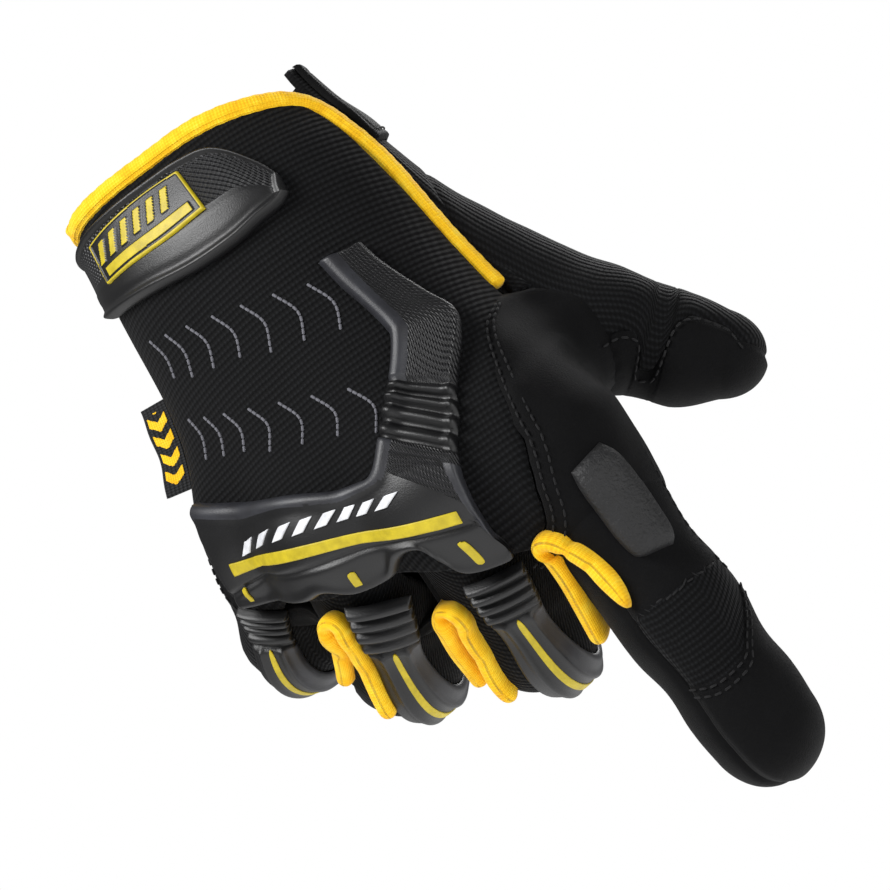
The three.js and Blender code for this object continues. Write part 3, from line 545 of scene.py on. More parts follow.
BACK_KNIT = ribbed_knit("ribbed_back_knit", "height", 1.5, 1.1)
SIDE_KNIT = ribbed_knit("ribbed_side_knit", "across", 1.6, 1.1)
FINGER_KNIT = ribbed_knit("ribbed_finger_knit", "along", 1.4, 1.0)
SUEDE = suede_leather()
RUBBER = moulded_rubber("black_moulded_rubber", "#050506", "#0b0b0d", 0.42)
# grey rubber for the knuckle guard's lips, and a painted highlight on the lit facet of each finger guard
GREY_RUBBER_AND_PAINTED_HIGHLIGHT = moulded_rubber("grey_rubber_and_painted_highlight", "#202024", "#2e2f34", 0.45)
KNURLED = knurled_rubber("knurled_strap_rubber", "#030304", "#19191c", 0.42, 1.6)
YELLOW_CLOTH = stretch_cloth("yellow_stretch_cloth", "#e6a408", "#fcc616", "#ffe044", 0.6)
YELLOW_PRINT = printed_rubber("yellow_rubber_print", "#ad9a10", "#cbb61c")
WHITE_PRINT = printed_rubber("white_rubber_print", "#c9cace", "#e8e9ec")
DOTTED = knurled_rubber("dotted_band_rubber", "#030304", "#151518", 0.45, 1.5)
CRACKED = moulded_rubber("grained_pad_leather", "#060607", "#131315", 0.6, 0.8, 0.45)
THREAD = woven_webbing("black_bonded_thread", "#050506", "#111113", 0.5)
GREY_THREAD = woven_webbing("grey_embroidery_thread", "#4a4a50", "#7d7d84", 0.6)
WEBBING = woven_webbing("black_woven_webbing", "#050506", "#1f2023", 1.1)


# --- cloth shells ---------------------------------------------------------------------------
# Folds and dents: two ends of the fold's line, its height (below 0 a dent) and its half width
FOLDS = np.array([
    [44, -30, -113, 56, -14, -112, -0.8, 2.2],
    [48, -27, -106, 57, -8, -98, 0.7, 3.0],
], float)


def fold_relief(points):
    """Sum of height * exp(-(distance to the fold's line / half width)^2)."""
    relief = np.zeros(points.shape[:2])
    for row in FOLDS:
        start, end = row[0:3], row[3:6]
        axis = end - start
        share = np.clip(((points - start) @ axis) / (axis @ axis), 0, 1)
        away = np.linalg.norm(points - start - share[..., None] * axis, axis=-1)
        relief += row[6] * np.exp(-(away / row[7]) ** 2)
    return relief


def drape(points, strength):
    """Low soft unevenness of worn cloth: three crossing waves of 9 to 17 mm."""
    x, y, z = points[..., 0], points[..., 1], points[..., 2]
    return strength * (np.sin(x / 2.7 + y / 3.9 + z / 5.1) + np.sin(z / 2.1 - x / 4.3 + 1.3)
                       + np.sin(y / 2.3 - z / 3.7 + x / 6.1 + 4.0)) / 3


def edge_dip(skin, sides, width=1.4, depth=0.9):
    """Sewn edges turn down: depth * exp(-(distance to the edge / width)^2) at each named side."""
    across, along = skin.across, skin.along
    gap = {"left": across - across[:, :1], "right": across[:, -1:] - across,
           "top": along - along[:1], "bottom": along[-1:] - along}
    return sum(-depth * np.exp(-(gap[side] / width) ** 2) for side in sides)


def hidden_cells(skin, limbs, depth=2.6):
    """Cells that lie inside another limb's hollow are left out, so that the hollow is open."""
    inside = np.zeros(skin.points.shape[:2], bool)
    for name in limbs:
        inside |= skin.others[name] < -depth
    return ~(inside[:-1, :-1] & inside[1:, :-1] & inside[:-1, 1:] & inside[1:, 1:])


def cloth_piece(name, skin, material, sides, others, wear=0.12, lift=0.0, round_=False, filled=None):
    crease = -1.5 * smooth_step(skin.rival, -0.8, 1.6)
    height = lift + crease + edge_dip(skin, sides) + drape(skin.points, wear) + fold_relief(skin.points)
    cells = hidden_cells(skin, others)
    if round_:
        cells = np.hstack([cells, np.ones((cells.shape[0], 1), bool)])
    if filled is not None:
        cells &= filled
    outer = skin.lifted(height)
    inner = skin.lifted(np.minimum(height, 0) - CLOTH_WALL)
    return slab_piece(name, outer, inner, skin.across, skin.along, [material], cells, round_)


def line_at(table, stations):
    table = np.array(table, float)
    return np.interp(stations, table[:, 0], table[:, 1])


# Seams round the hand: station and angle
BACK_SEAM = [[0.0, 70], [0.11, 79], [0.2, 82], [0.31, 87], [0.44, 88], [0.62, 90], [0.66, 78],
             [0.69, 71], [0.74, 56], [0.84, 47], [0.97, 40.5], [1.1, 40.5], [1.22, 42], [1.37, 46],
             [1.6, 50]]
SIDE_SEAM = [[0.0, 88], [0.11, 84], [0.2, 87], [0.31, 95], [0.44, 96], [0.64, 97]]
RIM_LINE = [[-98, 0.012], [-72, 0.006], [-48, 0.006], [-24, 0.014], [0, 0.024], [22, 0.038],
            [44, 0.064], [60, 0.084], [71, 0.108], [78, 0.142], [82, 0.2], [87, 0.26], [90, 0.33],
            [92, 0.42], [93, 0.5], [94, 0.57], [94, 0.64]]
DIGIT_NAMES = ["index", "middle", "ring", "little", "thumb"]
FINGERS = DIGIT_NAMES[:4]


def rim_stations(angles):
    rim = np.array(RIM_LINE[:10])
    return np.interp(angles, rim[:, 0], rim[:, 1])


def hand_pieces():
    """The four cloth pieces of the hand, each between its own seams."""
    stations = np.linspace(0.0, 1.5, 150)
    share = np.linspace(0, 1, 121)
    left, right = np.full(150, -88.0), line_at(BACK_SEAM, stations)
    angle = left[:, None] * (1 - share) + right[:, None] * share
    rim = rim_stations(angle) + 0.004
    station = rim + (stations[:, None] / 1.5) * (1.5 - rim)
    back = Skin("hand", angle, station)
    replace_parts(cloth_piece("knit_back", back, BACK_KNIT, ["left", "right"], FINGERS, 0.06), "back_panel")

    stations = np.linspace(0.665, 1.5, 84)
    yoke = skin_between("hand", line_at(BACK_SEAM, stations) + 0.4, np.full(84, 129.0), stations, 84)
    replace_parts(cloth_piece("leather_index_yoke", yoke, SUEDE, ["left", "right", "top"],
                            DIGIT_NAMES, 0.22, 0.35), "index_yoke")

    stations = np.linspace(0.0, 0.66, 60)
    side = skin_between("hand", line_at(SIDE_SEAM, stations), np.full(60, 128.7), stations, 40)
    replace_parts(cloth_piece("knit_thumb_side", side, SIDE_KNIT, ["left", "right"], ["thumb"], 0.12),
                "thumb_side_panel")

    stations = np.linspace(0.0, 2.0, 170)
    palm = skin_between("hand", np.full(170, 129.3), np.full(170, 271.7), stations, 110)
    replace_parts(cloth_piece("leather_palm", palm, SUEDE, ["left", "right"], DIGIT_NAMES, 0.2),
                "palm_panel")


def digit_piece(name, limb, left, right, stations, columns, material, sides, replaced, wear=0.12,
                lift=0.0):
    left = np.broadcast_to(left, len(stations)).astype(float)
    right = np.broadcast_to(right, len(stations)).astype(float)
    skin = skin_between(limb, left, right, stations, columns)
    others = [other for other in LIMB_BONES if other != limb]
    piece = cloth_piece(name, skin, material, sides, others, wear, lift)
    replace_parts(piece, *replaced)
    return piece


def finger_pieces():
    """Back and palm piece of each curled finger. The palm piece wraps over the fingertip."""
    for limb, centre in (("middle", 18), ("ring", 26), ("little", 27)):
        left, right = centre - 66.0, centre + 66.0
        digit_piece("knit_%s_back" % limb, limb, left, right, np.linspace(0, 1.9, 120), 56,
                    FINGER_KNIT, ["left", "right"], [limb + "_back"])
        digit_piece("leather_%s_palm" % limb, limb, right, left + 360, np.linspace(0, 2, 108), 74,
                    SUEDE, ["left", "right"], [limb + "_palm"], 0.2)


# Rim of the leather cap on the index finger: angles and stations
CAP_RIM = [[-22, 0, 20, 45, 60, 80, 96], [0.745, 0.772, 0.775, 0.76, 0.715, 0.655, 0.6]]
# Upper edge of the thumb's leather, with a notch between its two lobes: stations and angles
THUMB_LOBES = [[0, 0.68, 0.72, 0.75, 0.775, 0.79, 0.803, 0.83, 0.845, 0.86, 0.9, 0.98, 1.2, 1.6, 2],
               [-100, -100, -84, -69, -66, -72, -104, -104, -97, -50, -33, -32, -50, -46, -42]]


def index_pieces():
    """Index finger: leather back, knit window over the first joint, leather cap over the tip and
    one leather piece round the palm side."""
    stations = np.linspace(0, 0.545, 60)
    digit_piece("leather_index_back", "index", -22, 96, stations, 70, SUEDE, ["left", "bottom"],
                ["index_back"], 0.2, 0.3)
    share = np.linspace(0, 1, 71)[None]
    angle = -22 + 118 * share
    rim = np.interp(angle, CAP_RIM[0], CAP_RIM[1])
    down = np.linspace(0, 1, 60)[:, None]
    window = Skin("index", angle + 0 * down, 0.525 + (rim + 0.02 - 0.525) * down)
    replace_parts(cloth_piece("knit_index_window", window, FINGER_KNIT, ["left"], ["hand", "thumb", "middle"]),
                "index_window")
    down = np.linspace(0, 1, 108)[:, None]
    cap = Skin("index", angle + 0 * down, rim + (2 - rim) * down)
    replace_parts(cloth_piece("leather_index_cap", cap, SUEDE, ["left", "top"], ["hand", "middle"], 0.15, 0.55),
                "index_tip")
    stations = np.linspace(0, 2, 130)
    digit_piece("leather_index_palm", "index", 96, 338, stations, 84, SUEDE, ["left", "right"],
                ["index_palm"], 0.2)


def thumb_pieces():
    """Thumb: knit over its upper side, leather round its inner side and tip."""
    stations = 2 * (0.5 * np.linspace(0, 1, 170) + 0.5 * np.linspace(0, 1, 170) ** 0.75)
    edge = np.interp(stations, THUMB_LOBES[0], THUMB_LOBES[1])
    digit_piece("knit_thumb_back", "thumb", edge - 2, 132, stations, 84, SIDE_KNIT, ["left", "right"],
                ["thumb_back"])
    digit_piece("leather_thumb_grip", "thumb", 132, edge + 360, stations, 90, SUEDE, ["left", "right"],
                ["thumb_grip"], 0.2, 0.5)


hand_pieces()
finger_pieces()
index_pieces()
thumb_pieces()


# --- pieces laid on the cloth ---------------------------------------------------------------
BASE = 0.25
PLATE = 3.0

# Edges of the knuckle guard, from its tab round the window to the little finger. Columns: angle
# and station of the window edge, then of the outer edge
GUARD = [[28, 0.47, 43, 0.47], [29, 0.54, 45, 0.54], [31, 0.61, 50, 0.64], [32, 0.67, 53, 0.69],
         [31, 0.7, 49, 0.74], [24, 0.78, 38, 0.84], [19, 0.83, 32, 0.92], [13, 0.91, 26, 1.01],
         [10, 0.95, 27, 1.19], [8, 0.97, 32, 1.36], [6, 0.98, 40, 1.5], [4, 0.98, 26, 1.5],
         [2, 0.98, 19, 1.42], [0, 0.98, 14, 1.34], [-3, 0.98, 8, 1.36], [-6, 0.975, 2, 1.48],
         [-11, 0.96, -11, 1.49], [-17, 0.945, -19, 1.43], [-24, 0.93, -29, 1.46],
         [-34, 0.91, -48, 1.48], [-46, 0.88, -66, 1.46], [-58, 0.85, -80, 1.36]]
STRIPE = [[-56, 1.09, -60, 1.18], [-36, 1.13, -37, 1.2], [-16, 1.16, -15, 1.22],
          [5, 1.2, 6, 1.255], [23, 1.21, 24, 1.26]]
DASHES = {"middle": [23, 1.33, 29, 1.46], "ring": [-8, 1.35, -9, 1.47],
          "little": [-64, 1.27, -71, 1.37]}
STRAP = [[-86, 0.06, -86, 0.23], [-62, 0.055, -62, 0.27], [-38, 0.055, -38, 0.3],
         [-18, 0.065, -18, 0.325], [-2, 0.075, -2, 0.345], [12, 0.085, 12, 0.345],
         [23, 0.11, 22, 0.33], [31, 0.19, 29, 0.32], [35, 0.26, 34, 0.3]]
BADGE = [[-38, 0.105, -36, 0.225], [-22, 0.105, -20, 0.235], [-5, 0.11, -4, 0.245],
         [10, 0.12, 11, 0.24]]
PAD = [[20, 0.1, 50, 0.08], [17, 0.16, 58, 0.14], [16, 0.24, 62, 0.24], [15, 0.33, 63, 0.36],
       [18, 0.39, 60, 0.41], [26, 0.41, 54, 0.43]]
# middle angle, half the spread, first station, end of the ribs, last station
FINGER_GUARDS = {"middle": (18, 30, 0.17, 0.31, 0.62), "ring": (26, 31, 0.12, 0.3, 0.62),
                 "little": (27, 31, 0.27, 0.41, 0.72)}
# finger-edge line of each yellow gusset, in mm
GUSSETS = {
    "index_middle": [[41.5, -21.3, -159], [40.8, -23, -151], [39.2, -25.3, -144], [36.2, -26.5, -138],
                     [33.3, -24.5, -137.3], [30.8, -17.5, -145.5], [26.4, -8, -157.9]],
    "middle_ring": [[-0.8, 0, -152.5], [1.8, -11.2, -142.6], [5.0, -19.2, -135.4],
                    [1.8, -18.6, -134.0], [-3.0, -9.6, -138.7], [-6.5, 1, -146]],
    "ring_little": [[-28.2, 2, -137.5], [-24.0, -10.8, -128.2], [-20.2, -19.8, -120.6],
                    [-23.8, -17.0, -120.0], [-27.5, -8.7, -123.5], [-31.0, -1, -128.0]],
}


def smooth_rows(table, steps):
    """Catmull-Rom curve through the rows of a table, in so many steps from row to row."""
    table = np.array(table, float)
    rows = np.vstack([2 * table[0] - table[1], table, 2 * table[-1] - table[-2]])
    place = np.linspace(0, len(table) - 1, (len(table) - 1) * steps + 1)
    i = np.minimum(place.astype(int), len(table) - 2)
    f = (place - i)[:, None]
    a, b, c, d = rows[i], rows[i + 1], rows[i + 2], rows[i + 3]
    curve = 2 * b + (c - a) * f + (2 * a - 5 * b + 4 * c - d) * f ** 2 + (3 * b - a - 3 * c + d) * f ** 3
    return curve / 2, place


def eased(count):
    """Shares from 0 to 1 that lie closer together towards both ends."""
    share = np.linspace(0, 1, count + 1)
    return 0.45 * share + 0.55 * share * share * (3 - 2 * share)


def table_skin(limb, table, steps, columns):
    """Skin between the two edges that a table gives, on the melted form of the whole glove."""
    rows, place = smooth_rows(table, steps)
    share = eased(columns)
    angle = rows[:, [0]] * (1 - share) + rows[:, [2]] * share
    station = rows[:, [1]] * (1 - share) + rows[:, [3]] * share
    skin = Skin(limb, angle, station, 99.0)
    skin.place, skin.share, skin.angle, skin.station = place[:, None], share[None], angle, station
    return skin


def edge_gaps(skin):
    """Millimetres from each point to the left, right, first and last edge of its grid."""
    return (skin.across - skin.across[:, :1], skin.across[:, -1:] - skin.across,
            skin.along - skin.along[:1], skin.along[-1:] - skin.along)


def rounded(gap, radius):
    """Quarter circle up from an edge: sqrt(1 - (1 - gap / radius)^2), flat past the radius."""
    return np.sqrt(1 - (1 - np.clip(gap / radius, 0, 1)) ** 2)


def hump(value, centre, width):
    """Bell: exp(-((value - centre) / width)^2)."""
    return np.exp(-((value - centre) / width) ** 2)


def cell_means(values):
    return (values[:-1, :-1] + values[1:, :-1] + values[:-1, 1:] + values[1:, 1:]) / 4


def laid_piece(name, skin, height, materials, nodes, kinds=None, edge=1.2, base=BASE, filled=None):
    """Slab from the base up to height, its edges turned down in a quarter circle."""
    gap = np.minimum.reduce(edge_gaps(skin))
    outer = skin.lifted(base + 0.1 + (height - base - 0.1) * rounded(gap, edge))
    piece = slab_piece(name, outer, skin.lifted(base), skin.across, skin.along, materials, filled,
                       False, kinds)
    if nodes:
        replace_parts(piece, *nodes)
    return piece


def strap_piece():
    """Moulded closure strap: plate 2 mm, a rolled lip 1.7 mm in from its edge, a smooth crescent
    along its finger side and a diamond knurl over the rest."""
    skin = table_skin("hand", STRAP, 20, 56)
    gap = np.minimum.reduce(edge_gaps(skin))
    smooth = smooth_step(skin.share + 0 * skin.place, 0.56, 0.66) * smooth_step(-skin.place, -7.4, -5.6)
    height = BASE + 2.0 + 1.0 * hump(gap, 1.7, 1.0) + 0.35 * smooth * smooth_step(gap, 2.5, 5.5)
    knurled = (cell_means(gap) > 3.0) & (cell_means(smooth) < 0.1)
    laid_piece("moulded_closure_strap", skin, height, [RUBBER, KNURLED], ["closure_strap"],
               knurled.astype(int), 1.6)


def badge_piece():
    """Raised plate on the strap: a yellow frame and foot strip with plain slanted bars between."""
    skin = table_skin("hand", BADGE, 38, 66)
    left, right, first, last = edge_gaps(skin)
    gap = np.minimum.reduce([left, right, first, last])
    wide, long = skin.across[:, -1:] - skin.across[:, :1], skin.along[-1:] - skin.along[:1]
    frame_line = gap < 0.75
    foot = (left / wide > 0.7) & (left / wide < 0.9) & (first / long > 0.07) & (first / long < 0.93)
    slant = (first / long + 0.18 * left / wide - 0.15) / 0.135
    bars = (slant % 1 < 0.5) & (slant > 0) & (slant < 5.6) & (left / wide > 0.17) & (left / wide < 0.6)
    yellow = (frame_line | foot | bars).astype(float)
    height = BASE + 2.75 + 0.3 * yellow
    piece = laid_piece("badge_plate", skin, height, [RUBBER, YELLOW_PRINT], ["strap_badge"],
                       (cell_means(yellow) > 0.5).astype(int), 0.4, BASE + 2.1)


def anchor_piece():
    """Woven tape that holds the strap's fixed end, flat with rounded selvedges."""
    angle, station = np.meshgrid(np.linspace(-140, -89, 90), np.linspace(0.05, 0.24, 50))
    skin = Skin("hand", angle, station, 99.0)
    laid_piece("woven_strap_anchor", skin, BASE + 1.6, [WEBBING], ["strap_anchor"], None, 1.0)


def flap_piece():
    """Leather corner flap on the palm side of the cuff."""
    share = np.linspace(0, 1, 120)
    angle = np.broadcast_to(90 + 124 * share, (60, 120))
    depth = np.linspace(0, 1, 60)[:, None]
    station = -0.012 + depth * (0.262 - 0.12 * share)
    skin = Skin("hand", angle, station, 99.0)
    gap = np.minimum.reduce(edge_gaps(skin))
    height = BASE + 1.6 - 0.35 * hump(gap, 2.4, 0.5) + drape(skin.points, 0.15)
    laid_piece("leather_cuff_flap", skin, height, [SUEDE], ["cuff_flap"], None, 0.9)


def tag_piece():
    """Folded woven tape in the outer seam: points = seam + outward * reach, 1 mm thick."""
    station, reach = np.meshgrid(np.linspace(0.51, 0.78, 120), np.linspace(0, 1, 34), indexing="ij")
    skin = Skin("hand", np.full(station.shape, -88.0) + reach * 0.01, station, 99.0)
    outward = limb_rays("hand", np.full(station.shape, -88.0), station)[1]
    centre = skin.points + outward * (0.4 + 7.2 * reach)[..., None]
    bow = 0.5 * np.sin(station * 40) * reach
    thickness = 0.5 * rounded(np.minimum(1 - reach, 1) * 7.2, 0.8) + 0.05
    down = (station - 0.51) / 0.27
    chevron = (down * 29 + 7 * np.abs(reach - 0.5)) % 5.8
    yellow = ((chevron < 3.1) & (down > 0.08) & (down < 0.92) & (reach > 0.14) & (reach < 0.86)).astype(float)
    front = centre + np.stack([0 * bow, -thickness - 0.1 * yellow + bow, 0 * bow], -1)
    back = centre + np.stack([0 * bow, thickness + bow, 0 * bow], -1)
    length = 29 * down
    piece = slab_piece("folded_side_tag", front, back, 7.2 * reach, length, [WEBBING, YELLOW_CLOTH], None,
                       False, (cell_means(yellow) > 0.5).astype(int))
    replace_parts(piece, "side_tag")


def guard_height(skin):
    """Plate of the knuckle guard: lips along both edges, a tongue raised over each finger and
    valleys between them."""
    left, right, first, last = edge_gaps(skin)
    angle, station = skin.angle, skin.station
    height = BASE + 2.4 + 0 * angle
    upper = smooth_step(-skin.place, -9.0, -7.5) + 0 * angle
    height += 1.0 * hump(left, 2.5, 1.9)
    height += 0.7 * hump(right, 1.7, 1.2)
    tongues = sum(hump(angle, centre, width) for centre, width in ((26, 7), (-9, 9), (-62, 13)))
    height += 0.8 * tongues * smooth_step(station, 1.24, 1.32)
    height -= 0.7 * hump(station, 1.275, 0.016) * (1 - upper)
    return height, upper


def knuckle_guard():
    """Moulded guard round the window and over the knuckles, cut by five bellows ribs."""
    skin = table_skin("hand", GUARD, 14, 76)
    left, right, first, last = edge_gaps(skin)
    height, upper = guard_height(skin)
    bellows = smooth_step(skin.place, 5.0, 5.1) * smooth_step(-skin.place, -6.95, -6.85)
    wave_rows = 0.5 - 0.5 * np.cos(2 * np.pi * 4 * (skin.place - 5.05) / 1.85)
    height = height - bellows * (0.1 + 2.0 * (1 - wave_rows) ** 1.5)
    lips = (cell_means(np.minimum(left - 0.9, right + 99 * (skin.place < 7.2))) < 3.6).astype(int)
    lips[:, :] *= (cell_means(skin.place + 0 * left) < 9.2) | (cell_means(left) < 3.6)
    band = (cell_means(upper) > 0.5) & (lips == 0)
    kinds = np.where(lips == 1, 1, np.where(band, 2, 0))
    kinds = np.where(cell_means(bellows + 0 * left) > 0.5, 0, kinds)
    piece = laid_piece("moulded_knuckle_guard", skin, height, [RUBBER, GREY_RUBBER_AND_PAINTED_HIGHLIGHT, DOTTED],
                       ["knuckle_guard"], kinds, 1.3)
    return piece, skin.points.reshape(-1, 3)


def print_height(angle, station):
    tongues = sum(hump(angle, centre, width) for centre, width in ((26, 7), (-9, 9), (-62, 13)))
    return BASE + 2.4 + 0.8 * tongues * smooth_step(station, 1.24, 1.32)


def print_piece(name, limb, angle, station, lift, material, nodes, rise=PRINT_HEIGHT):
    skin = Skin(limb, angle, station, 99.0)
    outer = skin.lifted(lift + rise)
    piece = slab_piece(name, outer, skin.lifted(lift - 0.15), skin.across, skin.along, [material])
    if nodes:
        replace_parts(piece, *nodes)


def strip_grid(ends, half_width, rows, columns=6):
    """Grid along a line from one (angle, station) to another, half_width degrees to each side."""
    share = np.linspace(0, 1, rows)[:, None]
    side = np.linspace(-1, 1, columns + 1)[None] * half_width
    round_end = np.sqrt(np.clip(1 - (np.abs(2 * share - 1) ** 10), 0.02, 1))
    return ends[0] + (ends[2] - ends[0]) * share + side * round_end, ends[1] + (ends[3] - ends[1]) * share + 0 * side


# Middle angle and width of each white bar: wider where the plate turns away
WHITE_BARS = [[-44, 2.1], [-31, 1.6], [-21.5, 1.2], [-15, 1.0], [-9.3, 1.0], [-3.8, 1.0], [2, 1.0],
              [7.6, 1.0]]


def guard_prints():
    """Yellow bar, a dash on each tongue, and plain slanted white bars over the yellow bar."""
    rows, place = smooth_rows(STRIPE, 24)
    share = np.linspace(0, 1, 9)
    angle = rows[:, [0]] * (1 - share) + rows[:, [2]] * share
    station = rows[:, [1]] * (1 - share) + rows[:, [3]] * share
    print_piece("yellow_knuckle_bar", "hand", angle, station, print_height(angle, station), YELLOW_PRINT,
                ["knuckle_stripe"])
    for name, ends in DASHES.items():
        angle, station = strip_grid(ends, 1.15, 24)
        print_piece("yellow_%s_dash" % name, "hand", angle, station, print_height(angle, station),
                    YELLOW_PRINT, [name + "_dash"])
    for i, (centre, widen) in enumerate(WHITE_BARS):
        low = np.interp(centre, [-50, -20, 15], [1.015, 1.055, 1.09])
        share = np.linspace(0, 1, 14)[:, None]
        angle = centre + 3.2 * widen * share + np.linspace(-1.5, 1.5, 6)[None] * widen
        station = low + (0.072 - 0.024 * (centre + 50) / 65) * (1 - share) + 0 * angle
        print_piece("white_bar_%d" % (i + 1), "hand", angle, station - 0.012, BASE + 2.4, WHITE_PRINT, [])


def finger_guards(footprint):
    """Guard on each curled finger: four bellows ribs, then three flat facets with a yellow line down the middle one;
    the facet on the thumb side is made grey, a painted highlight. Cells under the knuckle guard are left out."""
    for limb, (centre, spread, start, ribs_end, end) in FINGER_GUARDS.items():
        stations = np.linspace(start, end, 110)[:, None]
        side = (2 * eased(56) - 1)[None]
        taper = 1 - 0.22 * smooth_step(stations, ribs_end + 0.1, end)
        angle = centre + 0.72 * spread * side * taper
        station = stations + 0 * side
        skin = Skin(limb, angle, station, 99.0)
        facets = 2.6 - 2.6 * np.maximum(np.abs(side) - 0.42, 0) ** 1.1 + 0.7 * hump(np.abs(side), 0.42, 0.12)
        turns = (stations - start) / (ribs_end - start) * 4
        ribs = 2.7 - 1.9 * (0.5 + 0.5 * np.cos(2 * np.pi * turns)) ** 2 - 0.5 * side ** 4
        share = smooth_step(stations, ribs_end - 0.006, ribs_end + 0.022)
        height = BASE + ribs * (1 - share) + facets * share
        middle_points = cell_means(skin.points)
        flat = middle_points.reshape(-1, 3)
        near = np.concatenate([
            np.min(((block[:, None] - footprint[None]) ** 2).sum(-1), axis=1)
            for block in np.array_split(flat, 60)])
        free = (near > 0.9 ** 2).reshape(middle_points.shape[:2])
        # painted highlight: the facet on the thumb side takes the grey material, as if lit
        kinds = ((cell_means(share + 0 * side) > 0.5)
                 & (cell_means(side + 0 * stations) > 0.44)).astype(int)
        laid_piece("moulded_%s_guard" % limb, skin, height, [RUBBER, GREY_RUBBER_AND_PAINTED_HIGHLIGHT], [limb + "_guard"], kinds,
                   1.1, BASE, free)
        angle, station = strip_grid([centre, ribs_end + 0.004, centre, end - 0.004], 2.4, 50)
        print_piece("yellow_%s_line" % limb, limb, angle, station, BASE + 2.5, YELLOW_PRINT,
                    [limb + "_line"])


def index_pad():
    """Padded plate on the index finger: height = 2.7 mm times a quarter circle in from each of its
    sides and from each of its ends, so that its corners are low and soft."""
    skin = table_skin("index", PAD, 18, 70)
    left, right, first, last = edge_gaps(skin)
    crown = rounded(np.minimum(left, right), 4.2) * rounded(np.minimum(first, last), 4.6)
    height = BASE + 0.3 + 2.6 * crown
    piece = laid_piece("padded_index_plate", skin, height, [CRACKED], ["index_pad"], None, 0.7)


def binding_piece():
    """Folded cuff binding: an oval 5 by 3.8 mm carried along the rim and down the slit, with a
    sewn groove along the middle and small puckers every 3 mm."""
    rows, place = smooth_rows([[angle, station] for angle, station in RIM_LINE], 13)
    skin = Skin("hand", rows[:, [0]] + np.array([[-1.0, 0, 1.0]]), rows[:, [1]] + np.zeros((1, 3)), 0.0)
    centres = skin.points[:, 1] - skin.normals[:, 1] * 0.7
    length = np.r_[0, np.cumsum(np.linalg.norm(np.diff(centres, axis=0), axis=1))]
    even = np.linspace(0, length[-1], 420)
    centres = np.stack([np.interp(even, length, centres[:, k]) for k in range(3)], -1)
    ups = np.stack([np.interp(even, length, skin.normals[:, 1, k]) for k in range(3)], -1)
    ends = rounded(np.minimum(even, even[-1] - even), 1.2)
    turn = np.linspace(0, 2 * np.pi, 40, endpoint=False)[None]
    pucker = 0.02 * np.sin(even * 2.1)[:, None] + 0.015 * np.sin(even * 0.9 + 1)[:, None]
    relief = 1 + pucker - 0.14 * hump(turn, 0.9, 0.13)
    piece = tube_piece("yellow_cuff_binding", centres, ups, 5.0 * ends, 3.9 * ends, [YELLOW_CLOTH], 40, 0.85,
                       relief)
    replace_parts(piece, "cuff_binding")


def pushed_out(line, clearance):
    """Moves points along the slope of the nearest limb's distance until they stand clear of it."""
    def nearest(points):
        return np.min(np.stack(list(all_distances(points).values())), axis=0)
    for _ in range(6):
        slope = np.stack([nearest(line + step) - nearest(line - step) for step in 0.4 * np.eye(3)], -1)
        line = line + unit(slope) * np.maximum(clearance - nearest(line), 0)[:, None] * 0.7
    kernel = np.ones(9) / 9
    padded_line = np.vstack([line[:1]] * 4 + [line] + [line[-1:]] * 4)
    return np.stack([np.convolve(padded_line[:, k], kernel, "valid") for k in range(3)], -1)


def gusset_pieces():
    """Puffy gusset between two fingers: a lens 13 by 4.6 mm carried round the crotch, pinched at
    its middle, with a sewn groove behind its rolled front edge."""
    inward = unit(np.array([0, 1.0, 0.35]))
    for name, table in GUSSETS.items():
        line, place = smooth_rows(table, 34)
        thin = (1 - smooth_step(place, 0.2, 2.6)) * (name == "index_middle")
        depth = 13.0 - 8.0 * thin
        line = pushed_out(line, 1.3 + 1.2 * thin)
        centres = line + inward * (0.3 * depth)[:, None]
        along = unit(np.gradient(centres, axis=0))
        ups = np.cross(along, inward)
        length = np.r_[0, np.cumsum(np.linalg.norm(np.diff(centres, axis=0), axis=1))]
        pinch = 1 - 0.3 * hump(place, 2.45, 0.16)
        ends = rounded(np.minimum(length / (1 + 3 * thin), length[-1] - length), 3.0)
        turn = np.linspace(0, 2 * np.pi, 44, endpoint=False)[None]
        front = np.pi
        relief = (1 + 0.03 * np.sin(length * 1.7)[:, None] * hump(turn, front, 0.9)
                  - 0.03 * hump(np.abs(turn - front), 0.95, 0.08))
        piece = tube_piece("yellow_%s_gusset" % name, centres, ups, depth * (0.35 + 0.65 * ends),
                           5.2 * ends * pinch, [YELLOW_CLOTH], 44, 0.8, relief)
        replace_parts(piece, name + "_fourchette")


